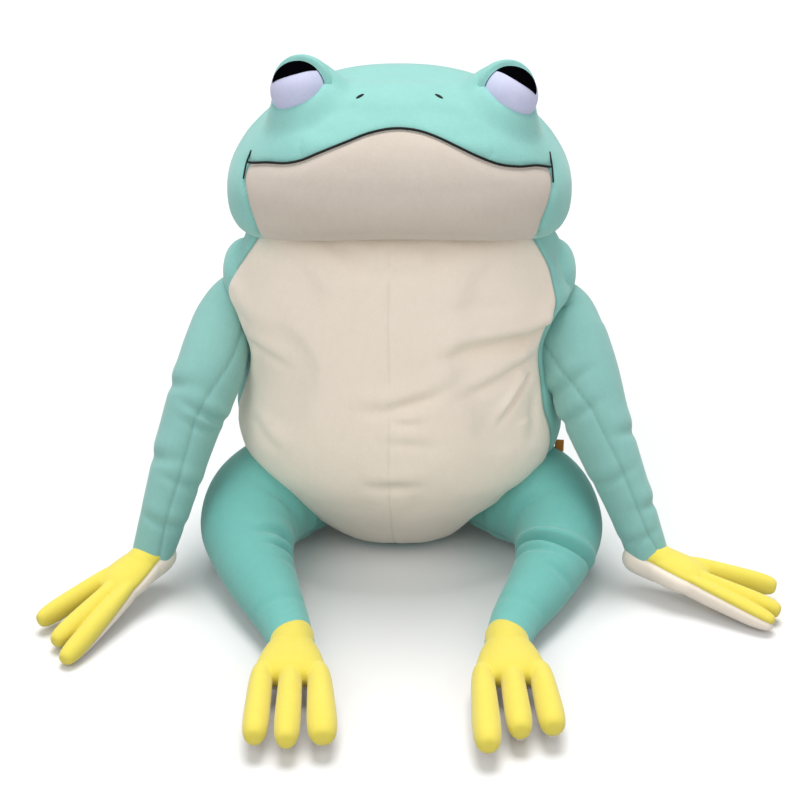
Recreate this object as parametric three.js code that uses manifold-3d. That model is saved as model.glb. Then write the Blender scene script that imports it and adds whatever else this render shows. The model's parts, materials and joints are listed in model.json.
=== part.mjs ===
// A large stuffed frog that sits on its seat, with its arms and legs resting on the floor.
// Lengths are millimetres and angles are degrees. Z is up and the frog looks along -Y.
// The origin is on the floor under the seat. The frog's own left side is at +X.

import * as THREE from 'three';
import { mergeVertices } from 'three/addons/utils/BufferGeometryUtils.js';
import Module from 'manifold-3d';

const wasm = await Module();
wasm.setup();

// Cloth and fits
const clothThickness = 3;
const clearance = 0.3;

// Torso: half sizes of the stuffed form, and the height of its widest level above the floor
const torsoHalfWidth = 160;
const torsoHalfDepth = 128;
const torsoMiddle = 140;
const torsoRise = 198;
const torsoDrop = 150;
const bellyForward = 20;
const seatPanelHeight = 14;

// Shoulder lobes of the back panel, above the arms
const lobeOut = 146;
const lobeForward = 4;
const lobeHeight = 273;
const lobeHalfWidth = 28;
const lobeHalfDepth = 42;
const lobeHalfHeight = 30;

// Side label, a folded tab whose inner end is sewn into the side seam
const labelWidth = 14;
const labelSeat = 6;
const labelLength = 13;
const labelThickness = 1.6;
const labelHeight = 104;

// Head and neck
const headHalfWidth = 166;
const headHalfDepth = 124;
const headRise = 92;
const headDrop = 58;
const headMiddle = 394;
const headForward = 14;
const neckRadius = 98;
const neckHalfLength = 150;
const neckHeight = 264;
const neckForward = 10;

// Eyes, nostrils and mouth
const eyeRadius = 27.5;
const rightEyeOut = 96;
const leftEyeOut = 103;
const eyeForward = 36;
const eyeHeight = 474;
const pupilRadius = 21.5;
const pupilThickness = 1.2;
const hoodThickness = 4;
const hoodBack = 7;
const nostrilOut = 36;
const nostrilHeight = 480.5;
const nostrilLength = 9;
const nostrilWidth = 5;
const stitchWidth = 3.4;

// Arms: places of the joints, and the tube's radii from the shoulder to the wrist
const shoulderOut = 175;
const shoulderForward = 11;
const shoulderHeight = 231;
const elbowOut = 211;
const elbowForward = 86;
const elbowHeight = 144;
const wristOut = 243;
const wristForward = 147;
const wristHeight = 38;
const shoulderRadius = 30;
const shoulderSweepReach = 56;
const shoulderInnerHalf = 31.8;
const upperArmRadius = 32;
const elbowRadius = 31;
const forearmRadius = 27;
const wristRadius = 20.5;

// Legs: the same, from the hip to the ankle
const hipOut = 108;
const hipForward = 45;
const kneeOut = 150;
const kneeForward = 100;
const ankleOut = 100;
const ankleForward = 280;
const hipRadius = 46;
const thighRadius = 50;
const kneeRadius = 46;
const calfRadius = 36;
const ankleRadius = 23;

// Hands and feet: a pad and three digits each
const handPadLength = 66;
const handPadHalfWidth = 30;
const handPadHalfHeight = 14;
const fingerLength = 62;
const fingerRootRadius = 12;
const fingerTipRadius = 13;
const fingerSpread = 12;
const footPadLength = 84;
const footPadHalfWidth = 40;
const footPadHalfHeight = 17;
const toeLength = 74;
const toeRootRadius = 12;
const toeTipRadius = 14.5;
const toeSpread = 6;

// Where the digits start on the pad, and how thick they are against it
const digitStartShare = 0.62;
const digitSideShare = 0.42;
const digitThicknessShare = 0.8;

// Ranges of the joints, which the clearance cuts follow
const shoulderRange = [-35, 60];
const elbowRange = [-10, 60];
const wristRange = [-40, 20];
const hipRange = [-10, 20];
const kneeRange = [-40, 15];
const ankleRange = [-25, 30];
const neckRange = [-10, 6];
const sweepMargin = 1.5;

// The two sides, with the small differences of the way its limbs lie and its eyes are set
const sides = [
  { name: 'right', out: -1, eyeOut: rightEyeOut, handTurn: 39, footTurn: 0 },
  { name: 'left', out: 1, eyeOut: leftEyeOut, handTurn: 60, footTurn: 4 },
];

// Colours and finishes
const mintPlush = { color: 0x93dccf, roughness: 0.95, metalness: 0 };
const creamPlush = { color: 0xe6d9c8, roughness: 0.95, metalness: 0 };
const yellowPlush = { color: 0xfff04a, roughness: 0.95, metalness: 0 };
const whitePlush = { color: 0xe9e6f6, roughness: 0.9, metalness: 0 };
const blackFelt = { color: 0x0c0b12, roughness: 0.8, metalness: 0 };
const blackThread = { color: 0x101312, roughness: 0.7, metalness: 0 };
const orangeTape = { color: 0xe0803a, roughness: 0.85, metalness: 0 };
const fibreFill = { color: 0xf4f2ec, roughness: 1, metalness: 0 };

const up = new THREE.Vector3(0, 0, 1);
const farAway = 2 * (headMiddle + headRise);

function radians(degrees) {
  return THREE.MathUtils.degToRad(degrees);
}

// A closed three.js geometry as a solid that can be cut and joined
function solidOf(geometry) {
  const bare = geometry.clone();
  bare.deleteAttribute('normal');
  bare.deleteAttribute('uv');
  const merged = mergeVertices(bare);
  const vertProperties = merged.attributes.position.array;
  const shape = { numProp: 3, vertProperties, triVerts: merged.index.array };
  return new wasm.Manifold(new wasm.Mesh(shape));
}

// A solid back as a three.js geometry
function geometryOf(solid) {
  const mesh = solid.getMesh();
  const geometry = new THREE.BufferGeometry();
  geometry.setAttribute('position', new THREE.BufferAttribute(mesh.vertProperties, 3));
  geometry.setIndex(new THREE.BufferAttribute(mesh.triVerts, 1));
  return geometry;
}

// Moves every corner of a unit shape to its place on the real one
function shaped(geometry, place) {
  const corners = geometry.attributes.position;
  const corner = new THREE.Vector3();
  for (let i = 0; i < corners.count; i += 1) {
    const moved = place(corner.fromBufferAttribute(corners, i));
    corners.setXYZ(i, moved.x, moved.y, moved.z);
  }
  return solidOf(geometry);
}

// A signed power that pushes a circle out towards its square: 2 keeps the circle
function fuller(value, fullness) {
  return Math.sign(value) * Math.abs(value) ** (2 / fullness);
}

// Everything on one side of a plane, as a large block
function halfSpace(point, outward) {
  const block = new THREE.BoxGeometry(2 * farAway, 2 * farAway, farAway);
  block.translate(0, 0, farAway / 2);
  block.applyQuaternion(new THREE.Quaternion().setFromUnitVectors(up, outward.clone().normalize()));
  block.translate(point.x, point.y, point.z);
  return solidOf(block);
}

const floor = halfSpace(new THREE.Vector3(), up.clone().negate());

function aboveFloor(height) {
  return halfSpace(up.clone().multiplyScalar(height), up);
}

// A flat outline in the side view, with Y across and Z up, as a bar along X
function sideCutter(points) {
  const outline = new THREE.Shape(points);
  const bar = new THREE.ExtrudeGeometry(outline, { depth: farAway, bevelEnabled: false });
  bar.translate(0, 0, -farAway / 2);
  const turn = new THREE.Matrix4().makeBasis(new THREE.Vector3(0, 1, 0), up, new THREE.Vector3(1, 0, 0));
  bar.applyMatrix4(turn);
  return solidOf(bar);
}

// A flat outline in the front view, with X across and Z up, as a bar from the middle to the front
function frontCutter(points) {
  const outline = new THREE.Shape(points);
  const bar = new THREE.ExtrudeGeometry(outline, { depth: farAway, bevelEnabled: false });
  bar.rotateX(Math.PI / 2);
  return solidOf(bar);
}

// A stuffed tube between two joints, swelling and tapering evenly through its radii.
// It covers the stretch between two shares of the run, and an inset makes it thinner all round.
function stuffedTube(from, run, radii, startShare, endShare, inset, sidesRound, rings) {
  const swell = new THREE.SplineCurve(radii.map((radius) => new THREE.Vector2(radius, 0)));
  const across = run.clone().cross(up).normalize();
  const above = across.clone().cross(run).normalize();
  const tube = new THREE.CylinderGeometry(1, 1, 1, sidesRound, rings);
  return shaped(tube, (corner) => {
    const share = THREE.MathUtils.lerp(startShare, endShare, corner.y + 0.5);
    const radius = swell.getPoint(THREE.MathUtils.clamp(share, 0, 1)).x - inset;
    const place = from.clone().addScaledVector(run, share);
    return place.addScaledVector(across, corner.x * radius).addScaledVector(above, corner.z * radius);
  });
}

// A stuffed pouch between two points: a full ellipsoid, whose half width and half height go evenly from its
// values at one end to those at the other
function stuffedPouch(from, to, startHalf, endHalf, fullness, around, along) {
  const ball = new THREE.SphereGeometry(1, around, along);
  const run = to.clone().sub(from);
  const across = run.clone().cross(up).normalize();
  const above = across.clone().cross(run).normalize();
  return shaped(ball, (corner) => {
    const girth = Math.hypot(corner.x, corner.z) || 1;
    const full = fuller(girth, fullness) / girth;
    const share = (fuller(corner.y, fullness) + 1) / 2;
    const halfWidth = THREE.MathUtils.lerp(startHalf[0], endHalf[0], share);
    const halfHeight = THREE.MathUtils.lerp(startHalf[1], endHalf[1], share);
    const place = from.clone().addScaledVector(run, share);
    return place
      .addScaledVector(across, corner.x * full * halfWidth)
      .addScaledVector(above, corner.z * full * halfHeight);
  });
}

// A slice like a pie's round a hinge, between two angles from a direction and two places along the axis
function pie(hinge, fromAngle, toAngle, low, high, reach, setBack) {
  const outline = new THREE.Shape();
  outline.moveTo(0, 0);
  outline.lineTo(reach * Math.cos(radians(fromAngle)), reach * Math.sin(radians(fromAngle)));
  outline.absarc(0, 0, reach, radians(fromAngle), radians(toAngle), false);
  const bar = { depth: high - low, bevelEnabled: false, curveSegments: 6 };
  const slice = new THREE.ExtrudeGeometry(outline, bar);
  slice.translate(0, 0, low);
  const { towards } = hinge;
  const flat = towards.clone().addScaledVector(hinge.axis, -towards.dot(hinge.axis)).normalize();
  const middle = flat.clone().applyAxisAngle(hinge.axis, radians((fromAngle + toAngle) / 2));
  const third = hinge.axis.clone().cross(flat);
  const tip = hinge.centre.clone().addScaledVector(middle, -setBack);
  slice.applyMatrix4(new THREE.Matrix4().makeBasis(flat, third, hinge.axis).setPosition(tip));
  return solidOf(slice);
}

// A round knuckle turned about its hinge axis, rounded towards its two ends
const knuckleSides = 12;
const knuckleSteps = 4;

function knuckle(hinge, radius, halfLength, halfStep) {
  const profile = [];
  const fullness = hinge.fullness ?? 2;
  for (let i = 0; i <= knuckleSteps; i += 1) {
    const angle = -Math.PI / 2 + (Math.PI * i) / knuckleSteps;
    const girth = i % knuckleSteps ? radius * fuller(Math.cos(angle), fullness) : 0;
    profile.push(new THREE.Vector2(girth, halfLength * fuller(Math.sin(angle), fullness)));
  }
  const turned = new THREE.LatheGeometry(profile, hinge.sidesRound ?? knuckleSides);
  turned.rotateY(halfStep ? Math.PI / (hinge.sidesRound ?? knuckleSides) : 0);
  turned.applyQuaternion(new THREE.Quaternion().setFromUnitVectors(new THREE.Vector3(0, 1, 0), hinge.axis));
  turned.translate(hinge.centre.x, hinge.centre.y, hinge.centre.z);
  return solidOf(turned);
}

// The hollow that a knuckle turns in: its flats clear the knuckle's corners
function socket(hinge, radius, halfLength) {
  const room = (radius + clearance) / Math.cos(Math.PI / (hinge.sidesRound ?? knuckleSides));
  return knuckle(hinge, room, halfLength + clearance, true);
}

// A child piece is kept inside its own slice and joined to its knuckle
function withinSlice(piece, hinge) {
  return piece.intersect(pie(hinge, -hinge.backSpan, hinge.foldSpan, -farAway, farAway, farAway, 0));
}

function onKnuckle(piece, hinge) {
  return withinSlice(piece, hinge).add(knuckle(hinge, hinge.radius, hinge.radius, false));
}

// A parent piece is cut clear of all that its child sweeps within a reach of the hinge.
// A lining is the extra room that its own skin takes round that cut.
function clearOf(piece, hinge, lining = 0, reach = farAway) {
  const from = hinge.range[0] - hinge.backSpan - sweepMargin;
  const to = hinge.range[1] + hinge.foldSpan + sweepMargin;
  const low = hinge.low - lining;
  const high = hinge.high + lining;
  const swept = pie(hinge, from, to, low, high, reach + lining, clearance + lining);
  return piece.subtract(swept).subtract(socket(hinge, hinge.radius + lining, hinge.radius + lining));
}

// Torso and head are full ellipsoids. Growing them by a length gives the skin's inner face or a clear fit.
// The torso's upper half is broad across the shoulders and rounder from front to back.
const roundFullness = 2.1;
const shoulderFullness = 6;
const chestFullness = 2.4;
const torsoTopFullness = 3.8;
const torsoPlanFullness = 2.15;

function torsoForm(grow) {
  const ball = new THREE.SphereGeometry(1, 20, 12);
  ball.rotateX(Math.PI / 2);
  return shaped(ball, (corner) => {
    const girth = Math.hypot(corner.x, corner.y) || 1;
    const upper = corner.z > 0;
    const level = fuller(corner.z, upper ? torsoTopFullness : roundFullness);
    const acrossShare = fuller(girth, upper ? shoulderFullness : roundFullness);
    const deepShare = fuller(girth, upper ? chestFullness : roundFullness);
    const x = fuller(corner.x / girth, torsoPlanFullness) * acrossShare * (torsoHalfWidth + grow);
    const y = fuller(corner.y / girth, torsoPlanFullness) * deepShare * (torsoHalfDepth + grow);
    const reach = level > 0 ? torsoRise : torsoDrop;
    return new THREE.Vector3(x, y - bellyForward, torsoMiddle + level * (reach + grow));
  });
}

const jawFullness = 3.6;
const headPlanFullness = 2.2;
const headNarrowingShare = 0.2;

function headWidthAt(level, grow) {
  return (headHalfWidth + grow) * (1 - headNarrowingShare * Math.max(level, 0));
}

function headForm(grow) {
  const ball = new THREE.SphereGeometry(1, 20, 12);
  ball.rotateX(Math.PI / 2);
  return shaped(ball, (corner) => {
    const girth = Math.hypot(corner.x, corner.y) || 1;
    const fullness = corner.z > 0 ? roundFullness : jawFullness;
    const full = fuller(girth, fullness);
    const level = fuller(corner.z, fullness);
    const x = fuller(corner.x / girth, headPlanFullness) * full * headWidthAt(level, grow);
    const y = fuller(corner.y / girth, headPlanFullness) * full * (headHalfDepth + grow);
    const reach = level > 0 ? headRise : headDrop;
    return new THREE.Vector3(x, y - headForward, headMiddle + level * (reach + grow));
  });
}

// The point of the face that lies straight ahead of a place in the front view
function faceAt(x, z) {
  const level = (z - headMiddle) / (z > headMiddle ? headRise : headDrop);
  const fullness = level > 0 ? roundFullness : jawFullness;
  const girth = (1 - Math.abs(level) ** fullness) ** (1 / fullness);
  const across = Math.abs(x) / (headWidthAt(level, 0) * girth);
  const ahead = (1 - Math.min(across, 1) ** headPlanFullness) ** (1 / headPlanFullness);
  return new THREE.Vector3(x, -headForward - ahead * girth * headHalfDepth, z);
}

// The mouth: a smile line that rises in the middle of the face, in shares of the head's half sizes
const halfMouthShares = [
  [0.126, 0.742],
  [0.199, 0.703],
  [0.314, 0.627],
  [0.44, 0.527],
  [0.555, 0.44],
  [0.629, 0.397],
  [0.733, 0.35],
  [0.856, 0.26],
];
const mouthMiddleShare = [0, 0.761];
const jawSideShares = [
  [0.871, 0.11],
  [0.862, -0.04],
  [0.802, -0.443],
  [0.69, -1.183],
];
const mouthTickShares = [
  [0.829, 0.38],
  [0.856, 0.26],
  [0.871, 0.13],
];

function headPlace([acrossShare, levelShare]) {
  const reach = levelShare > 0 ? headRise : headDrop;
  return new THREE.Vector2(acrossShare * headHalfWidth, headMiddle + levelShare * reach);
}

function mirrored([acrossShare, levelShare]) {
  return [-acrossShare, levelShare];
}

function mouthCurve() {
  const rightHalf = halfMouthShares.map(mirrored).reverse();
  const shares = [...rightHalf, mouthMiddleShare, ...halfMouthShares];
  return new THREE.SplineCurve(shares.map(headPlace));
}

function jawOutline() {
  const leftSide = jawSideShares.map(headPlace);
  const rightSide = jawSideShares.map(mirrored).map(headPlace).reverse();
  return [...mouthCurve().getPoints(24), ...leftSide, ...rightSide];
}

// Black stitching laid on the face along a line of the front view
function stitching(places) {
  const path = new THREE.CatmullRomCurve3(places.map((place) => faceAt(place.x, place.y)));
  const round = new THREE.Shape();
  round.absarc(0, 0, stitchWidth / 2, 0, 2 * Math.PI, false);
  const steps = places.length;
  return solidOf(new THREE.ExtrudeGeometry(round, { steps, curveSegments: 2, extrudePath: path }));
}

function mouthEmbroidery() {
  const line = stitching(mouthCurve().getPoints(12));
  const leftTick = stitching(mouthTickShares.map(headPlace));
  const rightTick = stitching(mouthTickShares.map(mirrored).map(headPlace));
  return line.add(leftTick).add(rightTick).subtract(headForm(clearance));
}

// The belly seam in the side view, in shares of the torso's depth and height from the neck down
const bellySeamShares = [
  [-0.3, 1.3],
  [-0.36, 0.93],
  [-0.06, 0.72],
  [-0.19, 0.42],
  [-0.08, 0.05],
  [-0.1, -0.35],
  [0.3, -1.1],
  [-1.4, -1.1],
  [-1.4, 1.3],
];

function bellyCutter(gap) {
  const points = bellySeamShares.map(([depthShare, levelShare]) => {
    const reach = levelShare > 0 ? torsoRise : torsoDrop;
    const depth = depthShare * torsoHalfDepth - bellyForward + gap;
    return new THREE.Vector2(depth, torsoMiddle + levelShare * reach);
  });
  return sideCutter(points);
}

function shoulderLobe(side, grow) {
  const lobe = new THREE.SphereGeometry(1, 10, 6);
  lobe.scale(lobeHalfWidth + grow, lobeHalfDepth + grow, lobeHalfHeight + grow);
  lobe.translate(side.out * lobeOut, -lobeForward, lobeHeight);
  return solidOf(lobe);
}

// Hinges. A positive angle moves the arm forward, the forearm, hand and foot up, the leg outward and the
// shin inward.
const lateral = new THREE.Vector3(1, 0, 0);
const neckHinge = {
  centre: new THREE.Vector3(0, -neckForward, neckHeight), axis: lateral, range: neckRange,
  fullness: 4, sidesRound: 20,
};

function armHinges(side) {
  const shoulder = new THREE.Vector3(side.out * shoulderOut, -shoulderForward, shoulderHeight);
  const elbow = new THREE.Vector3(side.out * elbowOut, -elbowForward, elbowHeight);
  const wrist = new THREE.Vector3(side.out * wristOut, -wristForward, wristHeight);
  const upperArm = elbow.clone().sub(shoulder).normalize();
  const forearm = wrist.clone().sub(elbow).normalize();
  const turn = radians(side.handTurn);
  const reach = handPadLength + fingerLength;
  const fall = wristHeight - fingerTipRadius;
  const hand = new THREE.Vector3(side.out * Math.sin(turn) * reach, -Math.cos(turn) * reach, -fall);
  hand.normalize();
  const backward = lateral.clone().negate();
  const elbowAxis = backward.clone().addScaledVector(forearm, -backward.dot(forearm)).normalize();
  return {
    shoulder: {
      centre: shoulder, axis: backward, towards: upperArm, radius: shoulderRadius - clothThickness / 2,
      range: shoulderRange, foldSpan: 62, backSpan: 62,
      low: side.out < 0 ? -shoulderInnerHalf : -farAway, high: side.out < 0 ? farAway : shoulderInnerHalf,
    },
    elbow: {
      centre: elbow, axis: elbowAxis, towards: forearm, radius: elbowRadius - clothThickness / 2,
      range: elbowRange, foldSpan: 58, backSpan: 80, low: -farAway, high: farAway,
    },
    wrist: {
      centre: wrist, axis: hand.clone().cross(up).normalize(), towards: hand,
      radius: wristRadius - clothThickness / 2,
      range: wristRange, foldSpan: 52, backSpan: 66, low: -farAway, high: farAway,
    },
  };
}

function legHinges(side) {
  const hip = new THREE.Vector3(side.out * hipOut, -hipForward, thighRadius);
  const knee = new THREE.Vector3(side.out * kneeOut, -kneeForward, kneeRadius);
  const ankle = new THREE.Vector3(side.out * ankleOut, -ankleForward, ankleRadius);
  const turn = radians(side.footTurn);
  const foot = new THREE.Vector3(side.out * Math.sin(turn), -Math.cos(turn), 0);
  const outward = up.clone().multiplyScalar(side.out);
  const top = thighRadius + clearance;
  return {
    hip: {
      centre: hip, axis: outward, towards: knee.clone().sub(hip).normalize(),
      radius: hipRadius, range: hipRange, foldSpan: 45, backSpan: 40,
      low: side.out < 0 ? -top - clothThickness : -farAway,
      high: side.out < 0 ? farAway : top + clothThickness,
    },
    knee: {
      centre: knee, axis: outward.clone().negate(), towards: ankle.clone().sub(knee).normalize(),
      radius: kneeRadius - clothThickness / 2, range: kneeRange, foldSpan: 48, backSpan: 80,
      low: -farAway, high: farAway,
    },
    ankle: {
      centre: ankle, axis: foot.clone().cross(up).normalize(), towards: foot,
      radius: ankleRadius - clothThickness / 2, range: ankleRange, foldSpan: 66, backSpan: 70,
      low: -farAway, high: farAway,
    },
  };
}

// Limb segments: a cloth sleeve round a core of fill, open at its far end, where the next piece closes it
const sleeveEndShare = 1.3;
const coreStartShare = 0.25;
const hollowRings = 3;
const ringShare = (sleeveEndShare - coreStartShare) / hollowRings;
const coreEndShare = sleeveEndShare - ringShare;

function limbSegment(hinge, nextHinge, radii) {
  const run = nextHinge.centre.clone().sub(hinge.centre);
  const inset = clothThickness + clearance;
  const outside = stuffedTube(hinge.centre, run, radii, 0, sleeveEndShare, 0, 12, 4);
  const hollow = stuffedTube(
    hinge.centre, run, radii, coreStartShare, sleeveEndShare, clothThickness, 8, hollowRings,
  );
  const core = stuffedTube(
    hinge.centre, run, radii, coreStartShare, coreEndShare, inset, 8, hollowRings - 1,
  );
  const whole = clearOf(onKnuckle(outside, hinge), nextHinge).subtract(floor);
  return {
    sleeve: whole.subtract(hollow.intersect(aboveFloor(clothThickness))),
    stuffing: clearOf(withinSlice(core, hinge), nextHinge).intersect(aboveFloor(inset)),
  };
}

// Hands and feet: a pad and three digits as one stuffed form, in two cloth halves along a seam
function digitTip(root, towards, spread, length) {
  return root.clone().addScaledVector(towards.clone().applyAxisAngle(up, radians(spread)), length);
}

function pawForm(hinge, size) {
  const root = hinge.centre;
  const web = root.clone().addScaledVector(hinge.towards, size.padLength);
  const start = [size.rootRadius, size.rootRadius];
  const end = [size.padHalfWidth, size.padHalfHeight];
  let form = stuffedPouch(root, web, start, end, 3.2, 12, 6);
  for (const step of [-1, 0, 1]) {
    const heel = root.clone().addScaledVector(hinge.towards, size.padLength * digitStartShare);
    heel.addScaledVector(hinge.axis, step * size.padHalfWidth * digitSideShare);
    const length = size.padLength * (1 - digitStartShare) + size.digitLength;
    const tip = digitTip(heel, hinge.towards, -step * size.spread, length);
    const thin = size.padHalfHeight * digitThicknessShare;
    const digit = stuffedPouch(heel, tip, [size.digitRoot, thin], [size.digitTip, thin], 3, 8, 5);
    form = form.add(digit);
  }
  return form;
}

function pawHalves(hinge, size) {
  const form = onKnuckle(pawForm(hinge, size), hinge).subtract(floor);
  const seamUp = hinge.axis.clone().cross(hinge.towards).normalize();
  const seamPlace = hinge.centre.clone().addScaledVector(seamUp, -size.seamDrop);
  const gapPlace = seamPlace.clone().addScaledVector(seamUp, -clearance);
  return {
    top: form.intersect(halfSpace(seamPlace, seamUp)),
    bottom: form.intersect(halfSpace(gapPlace, seamUp.clone().negate())),
  };
}

const handSize = {
  rootRadius: wristRadius, padLength: handPadLength, padHalfWidth: handPadHalfWidth,
  padHalfHeight: handPadHalfHeight, digitLength: fingerLength, digitRoot: fingerRootRadius,
  digitTip: fingerTipRadius, spread: fingerSpread, seamDrop: clothThickness,
};

const footSize = {
  rootRadius: ankleRadius, padLength: footPadLength, padHalfWidth: footPadHalfWidth,
  padHalfHeight: footPadHalfHeight, digitLength: toeLength, digitRoot: toeRootRadius,
  digitTip: toeTipRadius, spread: toeSpread, seamDrop: clothThickness,
};

// Torso pieces: the skin in four panels round one core of fill
function torsoWhole(grow) {
  return torsoForm(grow).add(knuckle(neckHinge, neckRadius + grow, neckHalfLength + grow, false));
}

function torsoJointed(inset, arms, legs) {
  let form = torsoWhole(-inset);
  for (const arm of arms) form = clearOf(form, arm.shoulder, inset, shoulderSweepReach);
  for (const leg of legs) form = clearOf(form, leg.hip, inset);
  sides.forEach((side, i) => {
    form = form.add(clearOf(shoulderLobe(side, -inset), arms[i].shoulder, inset));
  });
  return form;
}

function torsoPieces(arms, legs) {
  const hollow = torsoJointed(clothThickness, arms, legs).intersect(aboveFloor(clothThickness));
  const skin = torsoJointed(0, arms, legs).subtract(floor).subtract(hollow);
  const upper = skin.intersect(aboveFloor(seatPanelHeight + clearance));
  const belly = upper.intersect(bellyCutter(0));
  const seam = new THREE.Vector3(clearance / 2, 0, 0);
  const inset = clothThickness + clearance;
  return {
    bellyLeft: belly.intersect(halfSpace(seam, lateral)),
    bellyRight: belly.intersect(halfSpace(seam.clone().negate(), lateral.clone().negate())),
    back: upper.subtract(bellyCutter(clearance)),
    seat: skin.subtract(aboveFloor(seatPanelHeight)),
    core: torsoJointed(inset, arms, legs).intersect(aboveFloor(inset)),
  };
}

function sideLabel() {
  const tab = new THREE.BoxGeometry(labelWidth, labelThickness, labelLength);
  const place = torsoHalfWidth - labelSeat + labelWidth / 2;
  tab.translate(place, -bellyForward, labelHeight);
  return solidOf(tab).subtract(torsoForm(clearance));
}

// Head pieces
function headPieces() {
  const hole = socket(neckHinge, neckRadius, neckHalfLength);
  const skin = headForm(0).subtract(headForm(-clothThickness)).subtract(hole);
  const jawBar = frontCutter(jawOutline());
  const jaw = skin.intersect(jawBar);
  const wider = jawBar.add(jawBar.translate([clearance, 0, 0])).add(jawBar.translate([-clearance, 0, 0]));
  return {
    jaw,
    crown: skin.subtract(wider.add(jawBar.translate([0, 0, clearance]))),
    core: headForm(-clothThickness - clearance).subtract(hole),
  };
}

// Eyes: a white ball set into the head, a black half disc on it and a cloth hood behind it
const gazeUp = 46;
const gazeOut = 12;
const pupilTilt = 24;

function eyeCentre(side) {
  return new THREE.Vector3(side.out * side.eyeOut, -eyeForward, eyeHeight);
}

function eyeball(side, radius) {
  const ball = new THREE.SphereGeometry(radius, 12, 8);
  const centre = eyeCentre(side);
  ball.translate(centre.x, centre.y, centre.z);
  return solidOf(ball);
}

function pupil(side) {
  const half = new THREE.Shape();
  half.absarc(0, 0, pupilRadius, 0, Math.PI, false);
  const across = 2 * eyeRadius;
  const bar = new THREE.ExtrudeGeometry(half, { depth: across, bevelEnabled: false, curveSegments: 6 });
  bar.rotateZ(radians(-side.out * pupilTilt));
  bar.rotateX(Math.PI / 2 - radians(gazeUp));
  bar.rotateZ(radians(side.out * gazeOut));
  const centre = eyeCentre(side);
  bar.translate(centre.x, centre.y, centre.z);
  const near = eyeball(side, eyeRadius + clearance);
  const far = eyeball(side, eyeRadius + clearance + pupilThickness);
  return solidOf(bar).intersect(far).subtract(near).subtract(headForm(clearance));
}

function eyeHood(side) {
  const hood = new THREE.SphereGeometry(eyeRadius + hoodThickness, 12, 8);
  const centre = eyeCentre(side);
  hood.translate(centre.x, centre.y + hoodBack, centre.z);
  const room = eyeball(side, eyeRadius + clearance + pupilThickness + clearance);
  return solidOf(hood).subtract(room).subtract(headForm(clearance));
}

function nostril(side) {
  const dot = new THREE.SphereGeometry(1, 8, 4);
  dot.scale(nostrilLength / 2, nostrilWidth / 2, nostrilWidth / 2);
  const place = faceAt(side.out * nostrilOut, nostrilHeight);
  dot.translate(place.x, place.y, place.z);
  return solidOf(dot).subtract(headForm(clearance));
}

// One named mesh, in a group whose place is its joint's centre
function addMesh(group, name, solid, finish) {
  const geometry = geometryOf(solid);
  const place = new THREE.Vector3();
  group.updateWorldMatrix(true, false);
  group.getWorldPosition(place);
  geometry.translate(-place.x, -place.y, -place.z);
  const mesh = new THREE.Mesh(geometry, new THREE.MeshStandardMaterial(finish));
  mesh.name = name;
  group.add(mesh);
}

// A group for a moving body, placed at its joint inside the body that carries it
function addBody(parent, name, hinge) {
  const body = new THREE.Group();
  const place = new THREE.Vector3();
  parent.updateWorldMatrix(true, false);
  parent.getWorldPosition(place);
  body.name = name;
  body.position.copy(hinge.centre).sub(place);
  body.userData = { axis: hinge.axis, range: hinge.range };
  parent.add(body);
  return body;
}

function addArm(torso, side, hinges) {
  const upperArm = addBody(torso, `upper_arm_${side.name}`, hinges.shoulder);
  const forearm = addBody(upperArm, `forearm_${side.name}`, hinges.elbow);
  const hand = addBody(forearm, `hand_${side.name}`, hinges.wrist);
  const upper = limbSegment(hinges.shoulder, hinges.elbow, [shoulderRadius, upperArmRadius, elbowRadius]);
  const lower = limbSegment(hinges.elbow, hinges.wrist, [elbowRadius, forearmRadius, wristRadius]);
  const paw = pawHalves(hinges.wrist, handSize);
  addMesh(upperArm, `upper_arm_sleeve_${side.name}`, upper.sleeve, mintPlush);
  addMesh(upperArm, `upper_arm_stuffing_${side.name}`, upper.stuffing, fibreFill);
  addMesh(forearm, `forearm_sleeve_${side.name}`, lower.sleeve, mintPlush);
  addMesh(forearm, `forearm_stuffing_${side.name}`, lower.stuffing, fibreFill);
  addMesh(hand, `hand_top_${side.name}`, paw.top, yellowPlush);
  addMesh(hand, `hand_palm_${side.name}`, paw.bottom, creamPlush);
}

function addLeg(torso, side, hinges) {
  const thigh = addBody(torso, `thigh_${side.name}`, hinges.hip);
  const shin = addBody(thigh, `shin_${side.name}`, hinges.knee);
  const foot = addBody(shin, `foot_${side.name}`, hinges.ankle);
  const upper = limbSegment(hinges.hip, hinges.knee, [hipRadius, thighRadius, kneeRadius]);
  const lower = limbSegment(hinges.knee, hinges.ankle, [kneeRadius, calfRadius, ankleRadius]);
  const paw = pawHalves(hinges.ankle, footSize);
  addMesh(thigh, `thigh_sleeve_${side.name}`, upper.sleeve, mintPlush);
  addMesh(thigh, `thigh_stuffing_${side.name}`, upper.stuffing, fibreFill);
  addMesh(shin, `shin_sleeve_${side.name}`, lower.sleeve, mintPlush);
  addMesh(shin, `shin_stuffing_${side.name}`, lower.stuffing, fibreFill);
  addMesh(foot, `foot_top_${side.name}`, paw.top, yellowPlush);
  addMesh(foot, `foot_sole_${side.name}`, paw.bottom, creamPlush);
}

function addTorso(torso, arms, legs) {
  const pieces = torsoPieces(arms, legs);
  addMesh(torso, 'belly_panel_left', pieces.bellyLeft, creamPlush);
  addMesh(torso, 'belly_panel_right', pieces.bellyRight, creamPlush);
  addMesh(torso, 'back_panel', pieces.back, mintPlush);
  addMesh(torso, 'seat_panel', pieces.seat, mintPlush);
  addMesh(torso, 'torso_stuffing', pieces.core, fibreFill);
  addMesh(torso, 'side_label', sideLabel(), orangeTape);
}

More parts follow.
